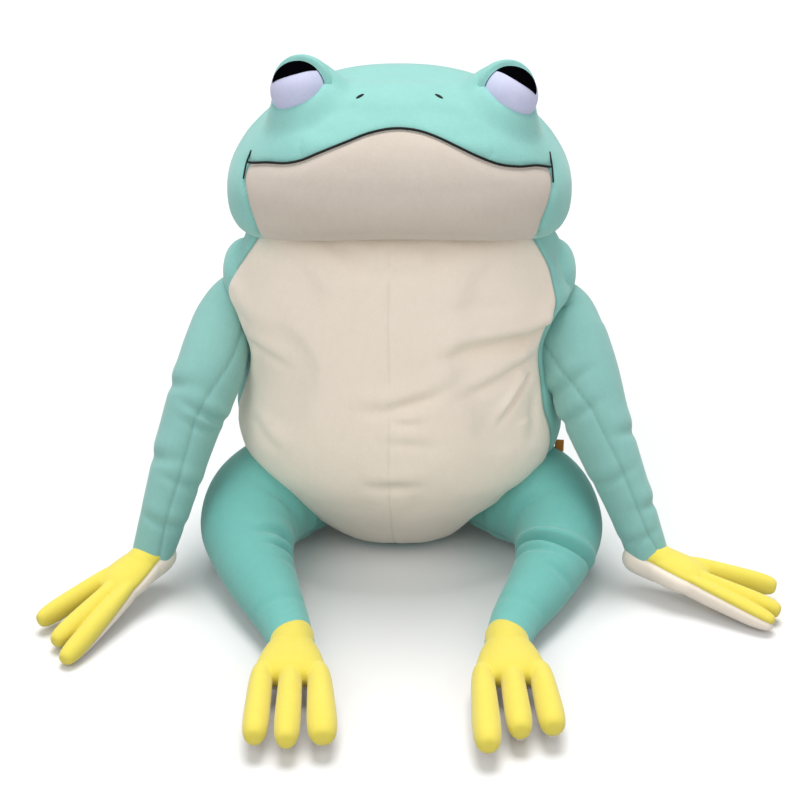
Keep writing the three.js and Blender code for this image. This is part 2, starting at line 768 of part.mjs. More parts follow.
function addHead(torso) {
  const head = addBody(torso, 'head', neckHinge);
  const pieces = headPieces();
  addMesh(head, 'crown_panel', pieces.crown, mintPlush);
  addMesh(head, 'jaw_panel', pieces.jaw, creamPlush);
  addMesh(head, 'head_stuffing', pieces.core, fibreFill);
  addMesh(head, 'mouth_embroidery', mouthEmbroidery(), blackThread);
  for (const side of sides) {
    addMesh(head, `eye_${side.name}`, eyeball(side, eyeRadius).subtract(headForm(clearance)), whitePlush);
    addMesh(head, `pupil_${side.name}`, pupil(side), blackFelt);
    addMesh(head, `eyelid_${side.name}`, eyeHood(side), mintPlush);
    addMesh(head, `nostril_${side.name}`, nostril(side), blackThread);
  }
}

function makeFrog() {
  const frog = new THREE.Group();
  const arms = sides.map(armHinges);
  const legs = sides.map(legHinges);
  addTorso(frog, arms, legs);
  addHead(frog);
  sides.forEach((side, i) => {
    addArm(frog, side, arms[i]);
    addLeg(frog, side, legs[i]);
  });
  return frog;
}

export default makeFrog();
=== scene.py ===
"""The looks of a big stuffed frog that sits on its seat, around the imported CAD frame.

Lengths are metres in the CAD's own frame: +Z up, -Y the way the frog looks, +X its own left side.
"""

import contextlib
import json
import math

import bmesh
import bpy
import numpy as np
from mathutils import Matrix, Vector

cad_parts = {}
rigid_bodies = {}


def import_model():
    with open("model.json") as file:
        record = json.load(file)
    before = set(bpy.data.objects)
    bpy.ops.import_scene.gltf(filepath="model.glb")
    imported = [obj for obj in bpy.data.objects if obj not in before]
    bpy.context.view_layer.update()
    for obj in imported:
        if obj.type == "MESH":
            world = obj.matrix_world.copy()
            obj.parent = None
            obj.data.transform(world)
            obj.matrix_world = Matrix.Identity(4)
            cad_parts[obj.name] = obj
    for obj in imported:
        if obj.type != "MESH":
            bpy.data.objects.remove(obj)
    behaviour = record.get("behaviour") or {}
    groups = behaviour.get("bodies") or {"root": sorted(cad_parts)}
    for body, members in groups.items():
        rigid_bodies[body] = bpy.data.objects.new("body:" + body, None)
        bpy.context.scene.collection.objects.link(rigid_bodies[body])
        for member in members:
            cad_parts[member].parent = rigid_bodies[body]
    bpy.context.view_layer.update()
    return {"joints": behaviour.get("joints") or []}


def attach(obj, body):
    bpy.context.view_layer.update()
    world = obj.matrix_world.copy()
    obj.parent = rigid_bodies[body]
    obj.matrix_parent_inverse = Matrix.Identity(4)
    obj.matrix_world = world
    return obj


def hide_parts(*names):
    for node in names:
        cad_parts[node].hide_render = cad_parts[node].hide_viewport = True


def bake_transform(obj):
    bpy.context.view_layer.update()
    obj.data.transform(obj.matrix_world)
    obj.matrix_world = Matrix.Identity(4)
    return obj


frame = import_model()


# TORSO CLOTH
# The body of the toy is one stuffed bag of short plush, sewn from a mint back, two cream belly
# gores and a seat. The panels meet in turned-in seams, which draw the cloth down into soft grooves.

SIDES = {"left": 1.0, "right": -1.0}
UP = np.array([0, 0, 1.0])
TINY = 1e-12
CLOTH = 0.0022
TORSO_CENTRE = -0.020
NECK_CENTRE = -0.010
# Above which height, and over how much of it, the torso's middle moves to that of the neck
LEAN_HEIGHT = 0.200
LEAN_TALL = 0.120
TORSO_PLAN = 2.25
# Height, half width, and reach to the front and to the back, from the seat up into the head
TORSO_SECTIONS = np.array([
    [0.0000, 0.048, 0.038, 0.050],
    [0.0060, 0.060, 0.051, 0.066],
    [0.0210, 0.078, 0.070, 0.086],
    [0.0530, 0.112, 0.097, 0.108],
    [0.0800, 0.137, 0.114, 0.119],
    [0.1040, 0.155, 0.125, 0.124],
    [0.1400, 0.164, 0.129, 0.126],
    [0.1750, 0.156, 0.127, 0.128],
    [0.2100, 0.151, 0.121, 0.126],
    [0.2450, 0.160, 0.114, 0.119],
    [0.2700, 0.170, 0.109, 0.108],
    [0.2950, 0.165, 0.104, 0.094],
    [0.3250, 0.152, 0.098, 0.074],
    [0.3480, 0.138, 0.090, 0.058],
    [0.3640, 0.110, 0.070, 0.044],
])
# Where the side seams run, front to back, at heights from the seat to the neck, on each side
SEAM_HEIGHTS = np.array([0.000, 0.045, 0.090, 0.150, 0.215, 0.268, 0.310, 0.364])
SEAM_DEPTHS = {
    "left": np.array([-0.010, -0.050, -0.066, -0.081, -0.066, -0.066, -0.058, -0.060]),
    "right": np.array([0.015, 0.005, -0.012, -0.024, -0.046, -0.026, -0.044, -0.052]),
}
SEAT_SEAM_HEIGHT = 0.006
# The frog's left arm presses into the side of the torso: by how much, at what height and how tall
ARMPIT_PRESS = 0.007
ARMPIT_HEIGHT = 0.231
ARMPIT_TALL = 0.027


def linear(red, green, blue):
    """A colour as it shows on a screen, in parts of 255, as linear light."""
    shown = np.array([red, green, blue]) / 255
    return tuple(np.where(shown <= 0.04045, shown / 12.92, ((shown + 0.055) / 1.055) ** 2.4))


def smooth_rows(rows, places):
    """Rows of values at places from 0 to 1: a Catmull-Rom curve through the rows, whose knots
    are spaced by the distance between neighbouring rows."""
    rows = np.asarray(rows, float)
    gaps = np.linalg.norm(np.diff(rows, axis=0), axis=1)
    knots = np.concatenate([[0], np.cumsum(gaps)]) / gaps.sum()
    places = np.clip(np.asarray(places, float), 0, 1)
    span = np.clip(np.searchsorted(knots, places, side="right") - 1, 0, len(knots) - 2)
    slopes = np.gradient(rows, knots, axis=0)
    width = (knots[span + 1] - knots[span])[..., None]
    step = (places - knots[span])[..., None] / width
    square, cube = step**2, step**3
    return (
        (2 * cube - 3 * square + 1) * rows[span]
        + (cube - 2 * square + step) * width * slopes[span]
        + (3 * square - 2 * cube) * rows[span + 1]
        + (cube - square) * width * slopes[span + 1]
    )


def fuller(value, fullness):
    """A sine or cosine pushed out from the circle, 2, towards the square: its signed power 2 / fullness."""
    return np.sign(value) * np.abs(value) ** (2 / fullness)


def ease(value):
    """0 below 0, 1 above 1, and a smooth step between."""
    share = np.clip(value, 0, 1)
    return share * share * (3 - 2 * share)


def bell(distance, width):
    """1 at no distance, falling away evenly on both sides over a width."""
    return np.exp(-((distance / width) ** 2))


def unit(vectors):
    """Vectors brought to a length of 1."""
    return vectors / np.maximum(np.linalg.norm(vectors, axis=-1, keepdims=True), TINY)


def clustered(count, strength=0.8):
    """Places from 0 to 1 that crowd together near both ends, for the fine rounding beside a seam."""
    even = np.linspace(0, 1, count)
    crowded = (1 - np.cos(np.pi * even)) / 2
    return even * (1 - strength) + crowded * strength


def torso_middle(height):
    """How far back the middle of the torso lies at a height."""
    return TORSO_CENTRE + (NECK_CENTRE - TORSO_CENTRE) * ease((height - LEAN_HEIGHT) / LEAN_TALL)


def torso_form(turn, level):
    """A point of the torso: level goes from the seat to the neck, and turn goes round it from the
    front, positive towards the frog's left. Each section is a full ellipse with its own reaches."""
    turn, level = np.broadcast_arrays(turn, level)
    sections = smooth_rows(TORSO_SECTIONS, level)
    height, half_width = sections[..., 0], sections[..., 1]
    ahead = np.cos(turn)
    reach = np.where(ahead > 0, sections[..., 2], sections[..., 3])
    pressed = ARMPIT_PRESS * bell(height - ARMPIT_HEIGHT, ARMPIT_TALL)
    half_width = half_width - pressed * ease(np.sin(turn))
    across = half_width * fuller(np.sin(turn), TORSO_PLAN)
    along = torso_middle(height) - reach * fuller(ahead, TORSO_PLAN)
    return np.stack([across, along, np.maximum(height, 0)], axis=-1)


def between(moves, turn, level):
    """A grid of moves over level and turn, read between its points."""
    rows, columns = moves.shape[:2]
    turn, level = np.broadcast_arrays(turn, level)
    row = np.clip(level, 0, 1) * (rows - 1)
    column = (turn / (2 * np.pi) % 1) * columns
    lower = np.clip(np.floor(row).astype(int), 0, rows - 2)
    first = np.floor(column).astype(int) % columns
    second = (first + 1) % columns
    up = (row - lower)[..., None]
    over = (column - np.floor(column))[..., None]
    below = moves[lower, first] * (1 - over) + moves[lower, second] * over
    above = moves[lower + 1, first] * (1 - over) + moves[lower + 1, second] * over
    return below * (1 - up) + above * up


# Nothing has moved until the torso's fill presses on its cloth, further down
torso_moves = np.zeros((2, 2, 3))


def torso_place(turn, level):
    """A point of the torso after its fill has pressed the cloth out."""
    return torso_form(turn, level) + between(torso_moves, turn, level)


def torso_level(height):
    """The level at which the torso's sections reach a height."""
    levels = np.linspace(0, 1, 400)
    return np.interp(height, smooth_rows(TORSO_SECTIONS, levels)[:, 0], levels)


# The side seam stays this far, as a cosine, from the middle of the front and of the back
SEAM_CLIP = 0.98


def torso_seam_turn(side, level):
    """The turn at which the side seam passes a level: where its depth meets the section."""
    sections = smooth_rows(TORSO_SECTIONS, level)
    height = sections[..., 0]
    seam = np.stack([SEAM_HEIGHTS, SEAM_DEPTHS[side]], axis=1)
    ahead = torso_middle(height) - smooth_rows(seam, height / SEAM_HEIGHTS[-1])[..., 1]
    share = ahead / np.where(ahead > 0, sections[..., 2], sections[..., 3])
    return np.arccos(np.clip(fuller(share, 4 / TORSO_PLAN), -SEAM_CLIP, SEAM_CLIP))


def surface_normals(places):
    """Unit normals of a grid of points, from the cross product of its two directions."""
    return unit(np.cross(np.gradient(places, axis=1), np.gradient(places, axis=0)))


def raised(places, height):
    """Points moved out along the normals of their grid by a height at each."""
    return places + surface_normals(places) * height[..., None]


def distance_to_line(places, line):
    """The distance of each point to the nearest stretch of a line of points."""
    nearest = np.full(places.shape[:-1], np.inf)
    for start, end in zip(line[:-1], line[1:]):
        run = end - start
        share = np.clip((places - start) @ run / max(run @ run, TINY), 0, 1)
        gap = np.linalg.norm(places - start - share[..., None] * run, axis=-1)
        nearest = np.minimum(nearest, gap)
    return nearest


# The stitched line's share of a seam's depth, and how many times wider the valley beside it is
LINE_SHARE = 0.55
VALLEY_TIMES = 3


def seam_dip(distance, depth, width):
    """How far cloth is drawn in beside a seam: a narrow stitched line in a wide soft valley."""
    line = bell(distance, width)
    valley = bell(distance, VALLEY_TIMES * width)
    return -depth * (LINE_SHARE * line + (1 - LINE_SHARE) * valley)


# The ridge beside a fold of the belly: how far away and how wide it is, in widths of the fold's
# valley, and its share of the depth. A fold has already begun by a share of its length at its
# first point, and fades out over the last share of it.
RIDGE_AWAY = 1.9
RIDGE_WIDE = 1.5
RIDGE_SHARE = 0.75
BEGUN_SHARE = 0.02
LAST_SHARE = 0.55


def crease(places, line, depth, width, fade_in):
    """A fold along a line of the front view: a valley with a soft ridge on its upper side. It
    begins over a share of its length, fade_in, and fades out over its second half."""
    flat = places[..., [0, 2]]
    line = np.array(line)
    steps = np.linalg.norm(np.diff(line, axis=0), axis=1)
    begun = np.concatenate([[0], np.cumsum(steps)]) / steps.sum()
    gap = np.full(flat.shape[:-1], np.inf)
    side = np.zeros(flat.shape[:-1])
    share = np.zeros(flat.shape[:-1])
    for start, end, first, last in zip(line[:-1], line[1:], begun[:-1], begun[1:]):
        run = end - start
        along = (flat - start) @ run / (run @ run)
        away = flat - start - np.clip(along, 0, 1)[..., None] * run
        distance = np.linalg.norm(away, axis=-1)
        nearer = distance < gap
        gap = np.where(nearer, distance, gap)
        side = np.where(nearer, np.where(away[..., 1] > 0, distance, -distance), side)
        share = np.where(nearer, first + (last - first) * np.clip(along, 0, 1), share)
    fade = ease((share + BEGUN_SHARE) / fade_in) * ease((1 - share) / LAST_SHARE)
    ridge = bell(side - RIDGE_AWAY * width, RIDGE_WIDE * width)
    return depth * fade * (RIDGE_SHARE * ridge - bell(side, width))


def in_scene(name, data):
    """A new object in the scene for a mesh, a lamp or a camera."""
    made = bpy.data.objects.new(name, data)
    bpy.context.scene.collection.objects.link(made)
    return made


def shaded_smooth(mesh):
    """Marks all faces of a mesh smooth."""
    mesh.polygons.foreach_set("use_smooth", np.ones(len(mesh.polygons), bool))


def mark_seam_shade(mesh, near):
    """Keeps how near a seam each point is, from 0 to 1, for the shade that is painted into the cloth there.
    """
    mesh.attributes.new("seam", "FLOAT", "POINT").data.foreach_set("value", near.astype(np.float32).ravel())


def cloth_mesh(name, places, wrap=False, seam=None):
    """A piece from a grid of points, rows by columns. Its faces point outwards where the columns run
    anticlockwise round it, seen from above, and the rows run up. seam is how near a seam each point is, for
    the shade painted there."""
    rows, columns = places.shape[:2]
    points = places.reshape(-1, 3)
    index = np.arange(rows * columns).reshape(rows, columns)
    left = index if wrap else index[:, :-1]
    right = np.roll(index, -1, axis=1) if wrap else index[:, 1:]
    quads = np.stack([left[:-1], right[:-1], right[1:], left[1:]], axis=-1).reshape(-1, 4)
    mesh = bpy.data.meshes.new(name)
    mesh.vertices.add(len(points))
    mesh.vertices.foreach_set("co", points.astype(np.float32).ravel())
    mesh.loops.add(quads.size)
    mesh.loops.foreach_set("vertex_index", quads.astype(np.int32).ravel())
    mesh.polygons.add(len(quads))
    mesh.polygons.foreach_set("loop_start", np.arange(0, quads.size, 4, dtype=np.int32))
    mesh.update(calc_edges=True)
    mesh.validate()
    if seam is not None:
        mark_seam_shade(mesh, seam)
    shaded_smooth(mesh)
    return in_scene(name, mesh)


@contextlib.contextmanager
def reworked(mesh):
    """A mesh opened for editing, and put back at the end."""
    work = bmesh.new()
    work.from_mesh(mesh)
    yield work
    work.to_mesh(mesh)
    work.free()


def crisp_rims(piece):
    """Marks a panel's open edges sharp, so that its outside keeps one smooth shade up to them."""
    with reworked(piece.data) as work:
        for edge in work.edges:
            edge.smooth = not edge.is_boundary


def closed(piece):
    """Closes a piece's open ends and turns all its faces outwards."""
    return outwards(piece, close=True)


def outwards(piece, close=False):
    """Turns all faces outwards, and first closes the open ends if asked to."""
    with reworked(piece.data) as work:
        if close:
            bmesh.ops.holes_fill(work, edges=work.edges, sides=0)
        bmesh.ops.recalc_face_normals(work, faces=work.faces)
    shaded_smooth(piece.data)
    return piece


def thickened(piece, thickness=CLOTH):
    """Gives a panel the thickness of its cloth, inwards, and closes its edges."""
    crisp_rims(piece)
    solid = piece.modifiers.new("cloth", "SOLIDIFY")
    solid.thickness = thickness
    solid.offset = -1
    solid.use_rim = True
    return piece


class Shade:
    """One socket of a material. Python's operators on it add Math nodes."""

    def __init__(self, finish, socket):
        self.finish = finish
        self.socket = socket

    def math(self, operation, *others):
        return self.finish.node("ShaderNodeMath", {"operation": operation}, dict(enumerate([self, *others])))

    def __add__(self, other):
        return self.math("ADD", other)

    __radd__ = __add__

    def __mul__(self, other):
        return self.math("MULTIPLY", other)

    __rmul__ = __mul__


class Finish:
    """A node material with one method that adds any node."""

    def __init__(self, name):
        self.material = bpy.data.materials.new(name)
        self.material.use_nodes = True
        self.tree = self.material.node_tree
        self.tree.nodes.clear()

    def node(self, kind, settings=None, values=None, output=0):
        """Adds a node, makes its settings first, then sets or links its sockets."""
        made = self.tree.nodes.new(kind)
        for key, value in (settings or {}).items():
            setattr(made, key, value)
        for key, value in (values or {}).items():
            if isinstance(value, Shade):
                self.tree.links.new(value.socket, made.inputs[key])
            else:
                made.inputs[key].default_value = value
        return Shade(self, made.outputs[output]) if len(made.outputs) else None

    def place(self):
        """The piece's own Object coordinates."""
        return self.node("ShaderNodeTexCoord", output=3)

    def noise(self, place, scale, detail=2.0, roughness=0.5):
        """Noise over places, finer where its scale is larger."""
        values = {"Vector": place, "Scale": scale, "Detail": detail, "Roughness": roughness}
        return self.node("ShaderNodeTexNoise", None, values)

    def bump(self, strength, distance, height):
        """Normals for a small relief: its strength, its depth in metres, and its height from 0 to 1."""
        values = {"Strength": strength, "Distance": distance, "Height": height}
        return self.node("ShaderNodeBump", None, values)

    def mix(self, factor, first, second):
        """A colour mixed of two others, each a link or three parts of linear light."""
        colours = [colour if isinstance(colour, Shade) else (*colour, 1.0) for colour in (first, second)]
        values = {0: factor, 6: colours[0], 7: colours[1]}
        return self.node("ShaderNodeMix", {"data_type": "RGBA"}, values, output=2)

    def surface(self, values):
        """Ends the material in one Principled shader."""
        shader = self.node("ShaderNodeBsdfPrincipled", None, values)
        self.node("ShaderNodeOutputMaterial", None, {"Surface": shader})
        return self.material


def coordinates(mesh):
    """A mesh's points as an array."""
    flat = np.zeros(len(mesh.vertices) * 3, np.float32)
    mesh.vertices.foreach_get("co", flat)
    return flat.reshape(-1, 3).astype(float)


FILL_PRESSURE = 4.0
FILL_FRAMES = 20


def filled_out(piece, cap, held, growth_share):
    """How far a skin's points move when its fill presses on it: Blender's cloth with pressure and
    no gravity, cut larger by a share, held at some points, and with each point's way capped."""
    before = coordinates(piece.data)
    cloth = piece.modifiers.new("fill", "CLOTH")
    cloth.settings.use_pressure = True
    cloth.settings.uniform_pressure_force = FILL_PRESSURE
    cloth.settings.effector_weights.gravity = 0
    cloth.settings.shrink_min = -growth_share
    cloth.settings.quality = 5
    cloth.collision_settings.use_collision = False
    group = piece.vertex_groups.new(name="held")
    group.add(np.flatnonzero(held).tolist(), 1.0, "REPLACE")
    cloth.settings.vertex_group_mass = "held"
    cloth.point_cache.frame_start = 1
    cloth.point_cache.frame_end = FILL_FRAMES
    for step in range(1, FILL_FRAMES + 1):
        bpy.context.scene.frame_set(step)
    graph = bpy.context.evaluated_depsgraph_get()
    moved = coordinates(piece.evaluated_get(graph).data) - before
    piece.modifiers.clear()
    bpy.context.scene.frame_set(1)
    far = np.linalg.norm(moved, axis=1, keepdims=True)
    return moved * np.minimum(1, cap / np.maximum(far, TINY))


def softened(moves, times):
    """A grid of moves with each one nearer to the mean of its neighbours, a number of times."""
    for _ in range(times):
        taller = np.pad(moves, ((1, 1), (0, 0), (0, 0)), "edge")
        padded = np.pad(taller, ((0, 0), (1, 1), (0, 0)), "wrap")
        beside = padded[1:-1, :-2] + padded[1:-1, 2:] + padded[:-2, 1:-1] + padded[2:, 1:-1]
        moves = moves / 2 + beside / 8
    return moves


# How near a seam the cloth is held, and over how far from it the mean swelling is taken off
HELD_NEAR = 0.004
TAKEN_OFF_OVER = 0.030


def once_round(columns):
    """Turns once round a piece from the front, with the first not repeated at the end."""
    return np.linspace(0, 2 * np.pi, columns, endpoint=False)


def bag_moves(form, seams, held_under, cap, growth_share, soft, rows=100, columns=160):
    """The moves of a bag's cloth over its own grid, held at its seams and under a level. The mean
    swelling is taken off again, as the bag is cut that much smaller."""
    turn, level = np.meshgrid(once_round(columns), np.linspace(0, 1, rows))
    places = form(turn, level)
    gap = np.min([distance_to_line(places, line) for line in seams], axis=0)
    held = (gap < HELD_NEAR) | (level < held_under)
    bag = closed(cloth_mesh("bag", places, wrap=True))
    moved = softened(filled_out(bag, cap, held.ravel(), growth_share).reshape(places.shape), soft)
    bpy.data.objects.remove(bag)
    normals = surface_normals(places)
    outward = np.sum(moved * normals, axis=-1)
    return moved - normals * (outward.mean() * ease(gap / TAKEN_OFF_OVER))[..., None]


# The depth of the pile, how it is combed down, and what its tufts, clumps and brushed patches each add to
# its tone. The relief is of tufts for a share, and clumps for the rest. The tone goes from one colour to the
# other between two values, and in a seam it goes part of the way to a darker one, as painted shade in the
# seam's groove.
PILE = 0.0011
COMBED = (1.0, 1.0, 0.45)
TUFT_SHARE = 0.34
CLUMP_SHARE = 0.22
BRUSHED_SHARE = 0.44
RELIEF_SHARE = 0.6
TONE_LOW = 0.36
TONE_HIGH = 0.64
SEAM_SHADE_SHARE = 0.45
SEAM_SHADE_DARK_SHARE = 0.55


def plush(name, colour, shade_colour, pile=1.0, sheen=0.35):
    """Short brushed plush: a pile of fine tufts that lie downwards, brushed patches that catch the light in
    other ways, a little fluff, and painted shade that darkens the cloth where a seam pulls it into a groove."""
    finish = Finish(name)
    place = finish.place()
    combed = finish.node("ShaderNodeMapping", None, {"Vector": place, "Scale": COMBED})
    tufts = finish.noise(combed, scale=620.0, detail=3.0, roughness=0.6)
    clumps = finish.noise(combed, scale=150.0)
    brushed = finish.noise(place, scale=11.0, detail=3.0, roughness=0.55)
    seam = finish.node("ShaderNodeAttribute", {"attribute_name": "seam"}, output=2)
    tone = tufts * TUFT_SHARE + clumps * CLUMP_SHARE + brushed * BRUSHED_SHARE
    tone = finish.node("ShaderNodeMapRange", None, {0: tone, 1: TONE_LOW, 2: TONE_HIGH, 3: 0.0, 4: 1.0})
    cloth = finish.mix(tone, shade_colour, colour)
    # In a seam the cloth goes part of the way to a darker colour: painted shade in the seam's groove.
    seam_shade_colour = finish.mix(SEAM_SHADE_SHARE, cloth, tuple(SEAM_SHADE_DARK_SHARE * part for part in shade_colour))
    return finish.surface({
        "Base Color": finish.mix(seam, cloth, seam_shade_colour),
        "Roughness": 0.92,
        "Normal": finish.bump(0.42 * pile, PILE, tufts * RELIEF_SHARE + clumps * (1 - RELIEF_SHARE)),
        "Sheen Weight": sheen,
        "Sheen Roughness": 0.45,
        "Specular IOR Level": 0.18,
    })


mint = plush("mint_plush", linear(149, 209, 201), linear(142, 201, 193))
cream = plush("cream_plush", linear(249, 237, 222), linear(243, 230, 215), pile=0.8)

SEAT_LEVEL = torso_level(SEAT_SEAM_HEIGHT)
NECK_LEVEL = 0.98
# How far the fill may press the torso's cloth out, and by what share the cloth is cut larger
TORSO_CAP = 0.0042
TORSO_GROWTH_SHARE = 0.012
BELLY_ROWS = 190
GORE_COLUMNS = 96
# The turn of the faint seam down the belly, and its depth and width
BELLY_SEAM_TURN = -0.045
BELLY_SEAM = (0.0009, 0.0014)
# The depth and width of the seams round the belly, and of those of the back and the seat
FRONT_SEAMS = (0.0034, 0.0030)
BACK_SEAMS = (0.0030, 0.0030)
# How near a seam shade is painted on the cloth, and how near the belly's own seam, whose painted shade is
# lighter
SEAM_SHADE_NEAR = 0.0016
FINE_SEAM_SHADE_NEAR = 0.0010
BELLY_SEAM_SHADE_SHARE = 0.35
# How far from the side seam the belly's folds have their whole depth
FOLDS_WHOLE_AT = 0.014
# Folds of the belly cloth in the front view: a line, a depth and a width, and how soon they begin.
# They run out from the frog's left armpit, where the arm pulls the cloth, and across the middle.
BELLY_FOLDS = [
    (((0.140, 0.246), (0.124, 0.245), (0.096, 0.247), (0.062, 0.246), (0.020, 0.242)), 0.0090, 0.0078, 0.02),
    (((0.134, 0.222), (0.118, 0.218), (0.094, 0.211), (0.075, 0.207), (0.040, 0.203)), 0.0045, 0.0060, 0.15),
    (((0.130, 0.208), (0.122, 0.200), (0.112, 0.187), (0.098, 0.172), (0.090, 0.164)), 0.0050, 0.0036, 0.20),
    (((0.066, 0.222), (0.053, 0.218), (0.026, 0.207), (-0.01, 0.196), (-0.06, 0.195)), 0.0050, 0.0068, 0.50),
    (((-0.018, 0.188), (0.005, 0.183), (0.034, 0.184)), 0.0022, 0.0045, 0.50),
    (((-0.030, 0.165), (0.005, 0.163), (0.050, 0.158)), 0.0018, 0.0055, 0.50),
    (((-0.045, 0.116), (-0.010, 0.113), (0.036, 0.117)), 0.0030, 0.0070, 0.50),
    (((0.131, 0.196), (0.131, 0.166), (0.130, 0.136)), 0.0026, 0.0050, 0.40),
    (((-0.150, 0.226), (-0.128, 0.226), (-0.095, 0.222)), 0.0030, 0.0065, 0.10),
    (((-0.148, 0.160), (-0.135, 0.146), (-0.110, 0.133)), 0.0018, 0.0070, 0.20),
    (((-0.060, 0.328), (0.000, 0.325), (0.070, 0.326)), 0.0026, 0.0100, 0.50),
    (((0.120, 0.282), (0.067, 0.286), (0.010, 0.290)), 0.0018, 0.0090, 0.30),
]


def puffed(places, seams, depth, width):
    """Cloth held down by seams: moved along its normals by each seam's dip, with how near the nearest seam
    is, from 0 to 1, for the painted shade in the seams."""
    dip = np.zeros(places.shape[:-1])
    near = np.zeros(places.shape[:-1])
    for line in seams:
        gap = distance_to_line(places, line)
        dip = dip + seam_dip(gap, depth, width)
        near = np.maximum(near, bell(gap, SEAM_SHADE_NEAR))
    return raised(places, dip), near


levels = np.linspace(SEAT_LEVEL, 1.0, 90)
seam_lines = {side: torso_place(out * torso_seam_turn(side, levels), levels) for side, out in SIDES.items()}
all_round = np.linspace(-np.pi, np.pi, 120)
seat_line = torso_form(all_round, SEAT_LEVEL)
neck_line = torso_form(all_round, NECK_LEVEL)
held_lines = [*seam_lines.values(), seat_line, neck_line]
torso_moves = bag_moves(torso_form, held_lines, SEAT_LEVEL, TORSO_CAP, TORSO_GROWTH_SHARE, soft=3)
centre_line = torso_place(BELLY_SEAM_TURN, levels)
belly_levels = np.linspace(SEAT_LEVEL, 1.0, BELLY_ROWS)[:, None]

for side, out in SIDES.items():
    edge = out * torso_seam_turn(side, belly_levels)
    share = clustered(GORE_COLUMNS)[None, :]
    turn = BELLY_SEAM_TURN + (edge - BELLY_SEAM_TURN) * (share if out > 0 else share[:, ::-1])
    places = torso_place(turn, belly_levels)
    folds = sum(crease(places, *fold) for fold in BELLY_FOLDS)
    places = raised(places, folds * ease(distance_to_line(places, seam_lines[side]) / FOLDS_WHOLE_AT))
    places, near = puffed(places, [seam_lines[side], seat_line], *FRONT_SEAMS)
    gap = distance_to_line(places, centre_line)
    places = raised(places, seam_dip(gap, *BELLY_SEAM))
    # The belly's own fine seam gets a lighter painted shade.
    near = np.maximum(near, BELLY_SEAM_SHADE_SHARE * bell(gap, FINE_SEAM_SHADE_NEAR))
    gore = thickened(cloth_mesh(f"belly_cloth_{side}", places, seam=near))
    gore.data.materials.append(cream)
    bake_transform(gore)
    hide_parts(f"belly_panel_{side}")

# The back has an odd number of columns, and the middle one is its spine seam
BACK_COLUMNS = 191
back_levels = np.linspace(SEAT_LEVEL, 1.0, 150)[:, None]
left_edge = torso_seam_turn("left", back_levels)
right_edge = 2 * np.pi - torso_seam_turn("right", back_levels)
share = 2 * clustered(BACK_COLUMNS, strength=0.5)[None, :]
left_turn = left_edge + (np.pi - left_edge) * share
right_turn = np.pi + (right_edge - np.pi) * (share - 1)
places = torso_place(np.where(share < 1, left_turn, right_turn), back_levels)
spine_line = places[:, BACK_COLUMNS // 2]
places, near = puffed(places, [*seam_lines.values(), seat_line, spine_line], *BACK_SEAMS)
back = thickened(cloth_mesh("back_cloth", places, seam=near))
back.data.materials.append(mint)
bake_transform(back)
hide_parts("back_panel", "torso_stuffing")

# The seat's cloth lies on the floor in rings from its middle, and its rim rises to the seat seam
seat_levels = np.linspace(0, SEAT_LEVEL, 18)[:, None]
rim = torso_place(np.linspace(-np.pi, np.pi, 180, endpoint=False), seat_levels)
ring_shares = np.linspace(0.02, 0.97, 14)[:, None, None]
seat_middle = np.array([0.0, TORSO_CENTRE, 0.0])
places = np.concatenate([seat_middle + (rim[0] - seat_middle) * ring_shares, rim], axis=0)
places, near = puffed(places, [seat_line], *BACK_SEAMS)
places[..., 2] = np.maximum(places[..., 2], 0)
seat = thickened(cloth_mesh("seat_cloth", places, wrap=True, seam=near))
seat.data.materials.append(mint)
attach(seat, "torso")
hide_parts("seat_panel")


# HEAD CLOTH
# The head is a wide stuffed bag that sags over the neck: a mint crown over the top, sides and back,
# and a cream jaw set into its front. Two short darts shape the crown above the mouth.

HEAD_CENTRE = -0.014
HEAD_PLAN = 2.3
# Height, half width, and reach to the front and to the back, from the underside to the top
HEAD_SECTIONS = np.array([
    [0.3505, 0.030, 0.025, 0.025],
    [0.3510, 0.112, 0.076, 0.085],
    [0.3560, 0.141, 0.094, 0.103],
    [0.3640, 0.156, 0.107, 0.114],
    [0.3760, 0.1650, 0.118, 0.120],
    [0.3930, 0.1655, 0.124, 0.124],
    [0.4170, 0.1510, 0.121, 0.120],
    [0.4400, 0.1300, 0.110, 0.109],
    [0.4610, 0.1040, 0.090, 0.088],
    [0.4755, 0.0740, 0.063, 0.062],
    [0.4830, 0.0420, 0.037, 0.036],
    [0.4860, 0.0040, 0.004, 0.004],
])
# How far the jowls sag at a distance from the middle, how many times that at most, and up to where
JOWL_DROP = 0.021
JOWL_OUT = 0.140
JOWL_MOST = 1.2
JOWL_HEIGHT = 0.350
JOWL_TALL = 0.070
# The level of the jaw's lower edge, and that under which the cloth is held on the neck
JAW_LOW = 0.20
UNDERSIDE_LEVEL = 0.12
# How far the fill may press the head's cloth out, and by what share the cloth is cut larger
HEAD_CAP = 0.0016
HEAD_GROWTH_SHARE = 0.006
# The depth and width of the seams round the jaw
JAW_SEAMS = (0.0024, 0.0026)
# The mouth line in the front view, from the frog's right corner to its left one
MOUTH_LINE = np.array([
    [-0.1436, 0.4168],
    [-0.1232, 0.4254],
    [-0.1038, 0.4305],
    [-0.0926, 0.4344],
    [-0.0739, 0.4433],
    [-0.0463, 0.4548],
    [-0.0299, 0.4605],
    [-0.0007, 0.4645],
    [0.0188, 0.4626],
    [0.0371, 0.4571],
    [0.0563, 0.4486],
    [0.0729, 0.4405],
    [0.0925, 0.4318],
    [0.1100, 0.4264],
    [0.1282, 0.4216],
    [0.1433, 0.4139],
])
# The side edges of the jaw in the front view, from each corner of the mouth down
JAW_SIDES = {
    "left": np.array([
        [0.1433, 0.4139], [0.1441, 0.4042], [0.1418, 0.3913], [0.1340, 0.3700], [0.1290, 0.3440],
    ]),
    "right": np.array([
        [0.1436, 0.4168], [0.1462, 0.4049], [0.1437, 0.3903], [0.1367, 0.3663], [0.1310, 0.3440],
    ]),
}
